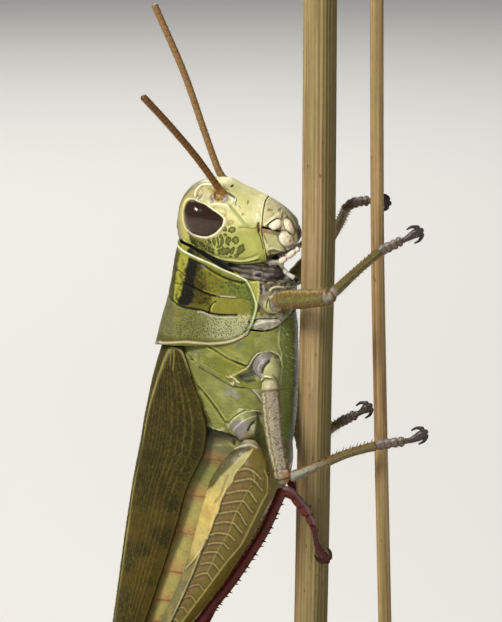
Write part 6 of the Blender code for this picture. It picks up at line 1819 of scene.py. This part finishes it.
def make_walking_shin(pair, word, side, stations, colour):
    """A slender shin with four keels and two rows of spines."""
    skin = limb(mirrored(stations, side), *counts(side, 185, 48), colour)
    share, _, deep = places(skin)
    for angle in (70, 110, -70, -110):
        keel(skin, angle, 9, 0.025)
    skin.shade(np.abs(deep), 0.55, 0.85, 0.75, (124, 88, 40))
    skin.paint(bump(deep - 0.1, 0.16) * 0.5, (128, 124, 84))
    skin.paint(bump(deep + 0.35, 0.08) * 0.5, BROWN)
    if pair == "middle":
        skin.paint(ramp(share, 0.5, 0.1) * ramp(deep, -0.4, 0.1) * ramp(deep, 0.95, 0.7) * 0.7,
                   (172, 170, 150))
        skin.paint(ramp(share, 0.45, 0.1) * ramp(deep, 0.0, -0.4) * 0.5, (130, 132, 136))
    skin.paint(skin.cloud(0.1, 6, 0.1, 0.6) * 0.35, (70, 52, 26))
    skin.shade(share, 0.07, 0.0, 0.6, (150, 140, 130))
    skin.push(0.03 * ramp(share, 0.9, 1.0) + 0.02 * ramp(share, 0.12, 0.03))
    skin.mottle(0.2, 0.14).mottle(0.08, 0.1)
    spines = walking_spines(skin.points.mean(axis=1), pair)
    hairs = fuzz(skin, 120, 0.22, (188, 180, 150), lean=(0.3, 0, -0.5), salt=37, radius=0.008)
    join(f"{pair}_{word}_shin", [skin, *spines, *hairs], "walking_leg", HORN, [f"{pair}_{word}_tibia"])


def make_walking_legs():
    """The four front legs: thigh, shin and foot."""
    for (pair, word), routes in LEGS.items():
        side = dict(SIDES)[word]
        femur, tibia, foot = map(sized, routes, LEG_SIZES[pair])
        thigh_colour, shin_colour, foot_colour = WALKING_COLOURS[pair]
        if (pair, word) == ("fore", "left"):
            foot_colour = (84, 70, 60)
        make_walking_thigh(pair, word, side, femur, thigh_colour)
        make_walking_shin(pair, word, side, tibia, shin_colour)
        make_foot(f"{pair}_{word}_tarsus", foot, side, "walking_leg", foot_colour, (92, 58, 34),
                  (150, 144, 144))


# x, z of each pale line on the near hind leg, left to right
CHEVRONS = [[(-2.07, 28.62), (-1.52, 28.72), (-1.05, 28.56), (-0.5, 28.0)],
            [(-2.36, 27.8), (-1.26, 28.03), (-0.94, 27.88), (-0.42, 27.19)],
            [(-2.9, 26.94), (-2.01, 27.16), (-1.4, 27.2), (-0.78, 26.38)],
            [(-3.3, 26.15), (-2.48, 26.34), (-1.77, 26.44), (-1.09, 25.6)],
            [(-3.54, 25.41), (-2.8, 25.59), (-2.17, 25.69), (-1.49, 24.64)],
            [(-3.78, 24.67), (-3.04, 24.85), (-2.49, 24.83), (-1.8, 24.07)],
            [(-4.1, 23.82), (-3.44, 24.01), (-2.81, 23.95), (-2.34, 23.53)],
            [(-4.27, 23.11), (-3.7, 23.26), (-3.21, 23.27), (-2.75, 22.85)],
            [(-4.6, 22.42), (-4.1, 22.55), (-3.62, 22.58), (-3.08, 22.0)],
            [(-4.77, 21.58), (-4.4, 21.7), (-3.95, 21.73), (-3.49, 21.22)],
            [(-5.19, 20.62), (-4.75, 20.85), (-4.37, 20.94), (-3.99, 20.43)]]
STRIPE_OUTER = [(-1.36, 30.01), (-1.97, 29.59), (-2.43, 29.12), (-2.97, 28.54), (-3.5, 28.0), (-3.95, 27.3),
                (-5.6, 26.0), (-7.5, 21.0)]
STRIPE_INNER = [(-1.21, 30.04), (-1.48, 29.55), (-2.0, 28.85), (-2.45, 28.22), (-2.56, 27.82), (-2.99, 27.25),
                (-3.14, 26.85), (-3.38, 26.26), (-3.54, 25.61), (-3.86, 24.94), (-4.02, 24.36),
                (-4.27, 23.76), (-4.52, 23.0), (-4.93, 22.47), (-5.46, 21.71), (-6.0, 21.1)]
LOWER_KEEL = [(-0.3, 28.6), (-0.07, 27.9), (-0.07, 27.07), (-0.42, 26.29), (-0.89, 25.22), (-1.44, 24.07),
              (-1.84, 23.22), (-2.93, 21.81), (-4.32, 19.82), (-5.82, 17.67), (-7.2, 15.7)]
DARK_LINE = [(-4.35, 23.4), (-4.68, 22.57), (-5.19, 21.12), (-5.78, 19.72), (-6.8, 17.45), (-8.0, 15.2)]
SPINE_TIP = (14, 8, 8)


def hind_thigh_marks(skin, far):
    """The herringbone, the yellow stripe and the keels on the outer face of a hind thigh."""
    def placed(route):
        return [(p[0], p[2]) for p in swung([(x, 0, z) for x, z in route])] if far else route

    share, out, _ = places(skin)
    out = np.abs(out) * (np.sign(skin.points[..., 1] - skin.points[..., 1].mean(axis=1, keepdims=True)) *
                         np.sign(skin.points[..., 1].mean()))
    row = ramp(out, 0.0, 0.25)
    field = row * skin.beyond(placed(LOWER_KEEL), "x", 0.1)
    inner = skin.beyond(placed(STRIPE_INNER[:13] + DARK_LINE[1:]), "x", 0.06)
    field = field * (1 - inner) * ramp(share, 0.02, 0.07) * ramp(share, 0.86, 0.72)
    skin.push(-0.05 * field)
    skin.paint(field * 0.85, (108, 96, 36))
    apex = [line[2] for line in CHEVRONS] + [(-7.4, 16.0)]
    left = skin.beyond(placed([(-0.9, 29.5)] + apex), "x", 0.3)
    skin.paint(field * left * 0.7, (118, 94, 58))
    last, step = np.array(CHEVRONS[-1]), np.array([-0.58, -0.9])
    middle = last.mean(axis=0)
    lines = CHEVRONS + [[tuple(middle + step * k + (point - middle) * 0.92 ** k) for point in last]
                        for k in range(1, 7)]
    for k, line in enumerate(lines):
        strength = 1.0 if k < 11 else 0.7
        below = placed(shifted(line, -0.05, -0.16))
        above = placed(shifted(line, 0.03, 0.13))
        skin.draw((below, 0.09, -0.03, (84, 66, 30), 0.5 * strength),
                  (above, 0.06, -0.02, (92, 74, 30), 0.4 * strength),
                  (placed(line), 0.042, 0.04, (166, 160, 104), 0.75 * strength))
    skin.draw((placed(apex[:-1]), 0.04, 0.03, (156, 150, 96), 0.55))
    skin.paint(field * skin.cloud(0.12, 9, 0.2, 0.6) * 0.35, (78, 62, 24))
    skin.paint(skin.near(placed([(-1.75, 29.3), (-1.55, 29.1)]), 0.16) * row * 0.7, (150, 140, 120))
    outer = skin.beyond(placed(STRIPE_OUTER), "x", 0.13)
    yellow = inner * (1 - outer) * row * ramp(share, 0.02, 0.05)
    skin.paint(yellow * ramp(skin.z, 21.2, 22.6), (184, 166, 100))
    skin.paint(inner * row * ramp(skin.z, 22.4, 20.8) * 0.95, (108, 104, 68))
    skin.paint(yellow * ramp(skin.z, 26.4, 28.2) * 0.85, (160, 156, 100))
    skin.paint(yellow * bump(skin.z - 25.4, 1.4) * 0.45, (222, 188, 102))
    skin.paint(yellow * skin.cloud(0.3, 14, 0.0, 0.6, 0.5) * 0.45, (148, 128, 70))
    skin.paint(outer * row * ramp(skin.z, 27.0, 27.6) * 0.9, (66, 56, 24))
    skin.paint(outer * ramp(skin.z, 30.0, 29.2) * ramp(skin.z, 27.0, 28.0) * 0.5, (98, 96, 62))
    skin.paint(skin.cloud(0.11, 12, 0.35, 0.6) * yellow * 0.4, (160, 132, 60))
    skin.draw((placed([(-2.85, 28.2), (-3.1, 27.5), (-3.3, 26.9), (-3.75, 26.2)]), 0.07, -0.04,
               (150, 128, 92), 0.7),
              (placed(shifted(STRIPE_INNER, 0.03, 0)), 0.045, 0.04, (222, 208, 140), 0.6),
              (placed(shifted(STRIPE_INNER[6:], 0.13, 0)), 0.055, -0.04, (60, 46, 18), 0.8),
              (placed(DARK_LINE), 0.07, -0.06, (48, 40, 16), 0.9),
              (placed(shifted(DARK_LINE, -0.14, -0.03)), 0.06, 0.04, (170, 164, 118), 0.6),
              (placed(LOWER_KEEL), 0.06, 0.06, (150, 140, 78), 0.6),
              (placed([(-1.06, 27.66), (-1.04, 27.62)]), 0.07, 0.0, (24, 18, 8), 1.0))
    beneath = 1 - skin.beyond(placed(shifted(LOWER_KEEL, 0.12, 0)), "x", 0.05)
    skin.paint(beneath * row * ramp(share, 0.1, 0.16) * 0.9, (98, 84, 28))


def make_hind_thigh(word, side):
    """The big hind thigh, banded on its outer face, with a dark crescent at the knee."""
    far = word == "left"
    place = swung if far else list
    skin = limb(mirrored(place(HIND_FEMUR), side), *counts(side, 370, 180), (104, 92, 36))
    share, out, deep = places(skin)
    out = out * side
    row = ramp(out, 0.0, 0.25)
    skin.push(-0.04 * ramp(np.abs(deep - 0.05), 0.5, 0.1) * row * ramp(share, 0.02, 0.1) *
              ramp(share, 0.9, 0.75))
    hind_thigh_marks(skin, far)
    skin.paint(ramp(deep, 0.95, 1.0) * ramp(out, 0.4, 0.0) * 0.7, (158, 130, 52))
    skin.paint(ramp(deep, -0.93, -1.0) * ramp(skin.z, 24.0, 22.0) * 0.4, (136, 126, 84))
    skin.draw(([(-2.3, 4.1, 29.6), (-1.9, 4.2, 30.1), (-1.4, 4.2, 30.25), (-1.0, 4.2, 30.0)], 0.09, 0.04,
               (206, 204, 182), 0.8))
    skin.shade(share, 0.03, 0.0, 0.8, (150, 140, 110))
    knee = ramp(share, 0.86, 0.92)
    skin.paint(knee * 0.7, (92, 66, 34))
    skin.push(-0.05 * bump(share - 0.875, 0.012))
    skin.paint(bump(share - 0.93, 0.02) * ramp(deep, -0.6, 0.2) * 0.8, (30, 20, 12))
    skin.roughen((0.01, 0.3, 3), (0.005, 0.1, 4))
    # painted shade in the hollows and painted highlight on the ridges
    skin.mottle(0.4, 0.1).mottle(0.12, 0.09).paint_relief_shading()
    hairs = fuzz(skin, 200, 0.18, (200, 190, 150), lean=(0.1, 0, -0.7), salt=41,
                 mask=ramp(np.abs(deep), 0.3, 0.9), radius=0.01)
    join(f"hind_{word}_thigh", [skin, *hairs], "hind_femur", HORN, [f"hind_{word}_femur"])


def hind_spines(middle):
    """Two rows of dark-tipped spines behind a hind shin with this middle line, and four spurs at its end."""
    spines = []
    for way in (-1, 1):
        for k in range(11):
            at = int((0.22 + 0.72 * (k + 0.25 + 0.5 * (way > 0)) / 11) * len(middle))
            along = middle[at + 3] - middle[at - 3]
            along /= np.linalg.norm(along)
            rear = np.cross(along, (0, -1, 0))
            rear /= np.linalg.norm(rear)
            lean = rear + along * 0.45 + np.array([0, way * 0.6, 0])
            lean /= np.linalg.norm(lean)
            foot = middle[at] + lean * 0.2
            spine = cone(foot, foot + lean * 0.5, 0.085, (70, 24, 18), 9)
            spine.tint[1:] = linear(SPINE_TIP)
            spines.append(spine)
    along = middle[-8] - middle[-16]
    along /= np.linalg.norm(along)
    rear = np.cross(along, (0, -1, 0))
    for way in (-1, 1):
        for reach in (0.55, 0.42):
            foot = middle[-8] + rear * 0.16 + np.array([0, way * 0.16, 0])
            lean = along * 0.8 + rear * (1.1 - reach) + np.array([0, way * 0.5, 0])
            spur = cone(foot, foot + lean * reach, 0.07, (100, 40, 28), 9)
            spur.tint[2:] = linear(SPINE_TIP)
            spines.append(spur)
    return spines


def make_hind_shin(word, side):
    """A dark red hind shin with three keels, a pale band below the knee, spines and spurs."""
    rows = mirrored(far_hind_tibia() if word == "left" else HIND_TIBIA, side)
    skin = limb(rows, *counts(side, 350, 50), (88, 24, 20))
    share, _, deep = places(skin)
    for angle in (60, 120, -90):
        keel(skin, angle, 10, 0.03)
    skin.shade(deep, -0.2, -0.9, 0.5, (112, 44, 32))
    skin.shade(share, 0.06, 0.02, 0.85, (60, 34, 20))
    skin.paint(bump(share - 0.09, 0.02) * 0.6, (150, 120, 70))
    skin.paint(skin.cloud(0.2, 5, 0.1, 0.7) * 0.5, (48, 12, 12))
    skin.mottle(0.2, 0.14)
    spines = hind_spines(skin.points.mean(axis=1))
    hairs = fuzz(skin, 120, 0.24, (170, 130, 110), lean=(0.1, 0, 0.3), salt=43, radius=0.009)
    join(f"hind_{word}_shin", [skin, *spines, *hairs], "hind_tibia", HORN, [f"hind_{word}_tibia"])


def make_hind_legs():
    """The two jumping legs, by the sides of the body."""
    for word, side in SIDES:
        make_hind_thigh(word, side)
        make_hind_shin(word, side)
        make_foot(f"hind_{word}_tarsus", sized(HIND_FEET[word], HIND_FOOT_SIZES), side, "hind_tibia",
                  (104, 36, 32), (44, 16, 12), (150, 128, 132))


# --- perch and stand --------------------------------------------------------------------------------------
def make_perch():
    """Cut dry stems: ribs, long streaks, dark specks and hollow ends, with painted shade and a painted green
    reflection along one side.
    """
    looks = (("stalk", STALK_ROUTE, 1.17, 150, (160, 136, 96), (116, 92, 54), (184, 160, 122), 26),
             ("thin_stem", THIN_ROUTE, 0.47, 70, (166, 136, 94), (112, 82, 44), (188, 158, 112), 11))
    for name, route, radius, sides, base, streak, light, ribs in looks:
        rows = smooth_rows([(*place, radius, radius) for place in route], 700)
        skin = limb(rows, 280, sides, base, ends=False)
        turn = np.radians(around(skin))
        middle_x = skin.x.mean(axis=1, keepdims=True)
        uneven = np.stack([np.cos(turn) * 3, np.sin(turn) * 3, skin.z * 0.03], axis=-1)
        rib = np.sin(turn * ribs + 2 * noise(uneven, 1.0, 3))
        skin.push(0.022 * rib * radius + 0.02 * radius * noise(uneven, 0.7, 5))
        skin.shade(rib, -0.3, -1.0, 0.35, streak)
        fine = np.stack([np.cos(turn) * 9 * radius, np.sin(turn) * 9 * radius, skin.z * 0.16], axis=-1)
        skin.paint(ramp(noise(fine, 0.9, 6), 0.0, 0.6) * 0.7, streak)
        skin.paint(ramp(noise(fine, 0.7, 7), 0.2, 0.7) * 0.6, light)
        wide = np.stack([np.cos(turn) * 2, np.sin(turn) * 2, skin.z * 0.05], axis=-1)
        skin.paint(ramp(noise(wide, 1.0, 8), 0.0, 0.7) * 0.5, (134, 124, 74))
        # darker green along the +x side: painted shade with a painted green reflection
        skin.paint(ramp(skin.x - middle_x, 0.28 * radius, 0.42 * radius) * (0.7 if name == "stalk" else 0.15),
                   (98, 90, 44))
        specks = cells(np.stack([skin.x, skin.points[..., 1], skin.z * 0.45], axis=-1), 0.35, 9)[0]
        skin.paint(ramp(specks, 0.2, 0.08) * skin.cloud(1.6, 10, 0.0, 0.4), (66, 48, 26))
        skin.mottle(0.3, 0.07)
        body = Skin(with_ends(skin.points, HOLLOW, HOLLOW), base)
        extra = len(HOLLOW)
        body.tint = np.concatenate([np.repeat(skin.tint[:1], extra, 0), skin.tint,
                                    np.repeat(skin.tint[-1:], extra, 0)])
        body.tint[:extra - 2] = linear((96, 74, 44))  # the lower end is darker inside
        join(f"{name}_cut", [body], "grass", STRAW, [name])


def turned(rows, sides, colour, centre=(0, 0)):
    """A turned form from rows of radius, height."""
    turn = np.arange(sides) * 2 * math.pi / sides
    points = [np.stack([centre[0] + r * np.cos(turn), centre[1] + r * np.sin(turn), 0 * turn + z], axis=-1)
              for r, z in rows]
    return Skin(np.array(points), colour)


def arc_rows(radius, height, size, start, end, steps=8):
    """Rows round a quarter edge, in degrees."""
    return [(radius + size * math.cos(a), height + size * math.sin(a))
            for a in np.radians(np.linspace(start, end, steps))]


def make_stand():
    """The turned wooden base with a bead round its edge, and two metal rods."""
    side = [(19.0, z) for z in np.linspace(0.7, 2.2, 6)]
    bead = [(18.75 + 0.25 * math.cos(a), 2.6 + 0.35 * math.sin(a)) for a in np.linspace(-1.4, 1.4, 9)]
    rows = [(0.5, 0.0), (9.0, 0.0), *arc_rows(18.6, 0.4, 0.4, -90, 0), *side, (18.7, 2.25), *bead,
            (18.7, 2.98), *arc_rows(18.45, 3.5, 0.5, 0, 90), (17.6, 4.0), (17.45, 3.95), (17.3, 3.9),
            (17.15, 3.95), (17.0, 4.0)]
    rows += [(r, 4.0) for r in np.linspace(16.6, 0.4, 40)]
    skin = turned(rows, 190, (104, 70, 42))
    rings = np.stack([skin.x * 0.5 + 9, skin.points[..., 1] * 0.06, skin.z * 0.5], axis=-1)
    growth = np.sin(skin.x * 3.1 + 1.6 * noise(rings, 1.1, 3) + 0.5 * np.sin(skin.points[..., 1] * 0.2))
    skin.shade(growth, 0.1, 1.0, 0.55, (66, 42, 24))
    grain = np.stack([skin.x * 6, skin.points[..., 1] * 0.35, skin.z * 6], axis=-1)
    skin.paint(ramp(noise(grain, 1.0, 4), 0.1, 0.8) * 0.5, (60, 38, 22))
    skin.paint(ramp(noise(grain, 2.2, 5), 0.2, 0.9) * 0.35, (146, 104, 66))
    join("base_turned", [skin], "stand_wood", WOOD, ["stand_base"])
    for word, route, radius in (("stalk", STALK_ROUTE, 0.7), ("thin", THIN_ROUTE, 0.32)):
        collar = radius + 0.28
        rows = [(collar, 3.9), (collar, 4.3), *arc_rows(collar - 0.1, 4.3, 0.1, 0, 90, 5),
                (radius + 0.03, 4.42), (radius, 4.5), *[(radius, z) for z in np.linspace(4.7, 8.3, 12)],
                *arc_rows(radius - 0.1, 8.3, 0.1, 0, 90, 5)]
        join(f"rod_{word}", [turned(rows, 72, (190, 186, 176), route[0][:2])], "stand_metal", STEEL,
             [f"stand_rod_{word}"])


# --- light, floor and camera ----------------------------------------------------------------------
PIXELS_PER_MM = 14.0
PICTURE_HEIGHT = 622
SENSOR = 36
FLOOR_REACH = 1.5  # metres from the middle of the floor to each edge
# name, place and size in metres, watts and colour
LIGHTS = (("key", (-0.16, -0.22, 0.3), 0.1, 1.6, (1.0, 0.97, 0.9)),
          ("fill", (0.3, -0.25, 0.12), 0.3, 0.2, (0.95, 0.98, 1.0)),
          ("back", (-0.1, 0.3, 0.25), 0.2, 0.7, (1.0, 0.98, 0.95)))
TARGET = Vector((-2.1, 0.0, 39.0)) * MM
AZIMUTH, ELEVATION, DISTANCE = math.radians(10), math.radians(13), 260 * MM


def make_camera():
    """The photo's view: a little behind a square side view, and from above."""
    back = Vector((math.sin(AZIMUTH) * math.cos(ELEVATION), -math.cos(AZIMUTH) * math.cos(ELEVATION),
                   math.sin(ELEVATION)))
    right = Vector((math.cos(AZIMUTH), math.sin(AZIMUTH), 0))
    up = back.cross(right)
    data = bpy.data.cameras.new("camera")
    data.sensor_fit = "VERTICAL"
    data.sensor_width = data.sensor_height = SENSOR
    data.lens = SENSOR * DISTANCE / (PICTURE_HEIGHT / PIXELS_PER_MM * MM)
    data.clip_start = 0.01
    camera = bpy.data.objects.new("camera", data)
    bpy.context.scene.collection.objects.link(camera)
    turn = Matrix((right, up, back)).transposed().to_4x4()
    camera.matrix_world = Matrix.Translation(TARGET + back * DISTANCE) @ turn
    bpy.context.scene.camera = camera


def add_light(name, place, size, energy, colour):
    """A square lamp that faces the model."""
    data = bpy.data.lights.new(name, "AREA")
    data.size = size
    data.energy = energy
    data.color = colour
    lamp = bpy.data.objects.new(name, data)
    bpy.context.scene.collection.objects.link(lamp)
    lamp.location = place
    lamp.rotation_euler = (TARGET - Vector(place)).to_track_quat("-Z", "Y").to_euler()


def make_studio():
    """A plain floor, a pale world and three lamps."""
    mesh = bpy.data.meshes.new("floor")
    corners = [(FLOOR_REACH * x, FLOOR_REACH * y, 0) for x, y in ((-1, -1), (1, -1), (1, 1), (-1, 1))]
    mesh.from_pydata(corners, [], [(0, 1, 2, 3)])
    floor = bpy.data.objects.new("floor", mesh)
    bpy.context.scene.collection.objects.link(floor)
    paint = bpy.data.materials.new("floor_paint")
    paint.use_nodes = True
    shader = paint.node_tree.nodes["Principled BSDF"]
    shader.inputs["Base Color"].default_value = (0.76, 0.75, 0.72, 1)
    shader.inputs["Roughness"].default_value = 0.8
    mesh.materials.append(paint)
    world = bpy.data.worlds.new("studio")
    world.use_nodes = True
    sky = world.node_tree.nodes["Background"]
    sky.inputs["Color"].default_value = (0.92, 0.96, 1.0, 1)
    sky.inputs["Strength"].default_value = 0.17
    bpy.context.scene.world = world
    for lamp in LIGHTS:
        add_light(*lamp)


for make in (make_capsule, make_eyes, make_clypeus, make_lip, make_jaws, make_feelers, make_palps, make_neck,
             make_pronotum, make_prothorax, make_middle_thorax, make_hind_thorax, make_coxae, make_abdomen,
             make_egg_valves, make_wings, make_walking_legs, make_hind_legs, make_perch, make_stand,
             make_studio, make_camera):
    make()
bpy.context.scene.view_settings.view_transform = "Standard"
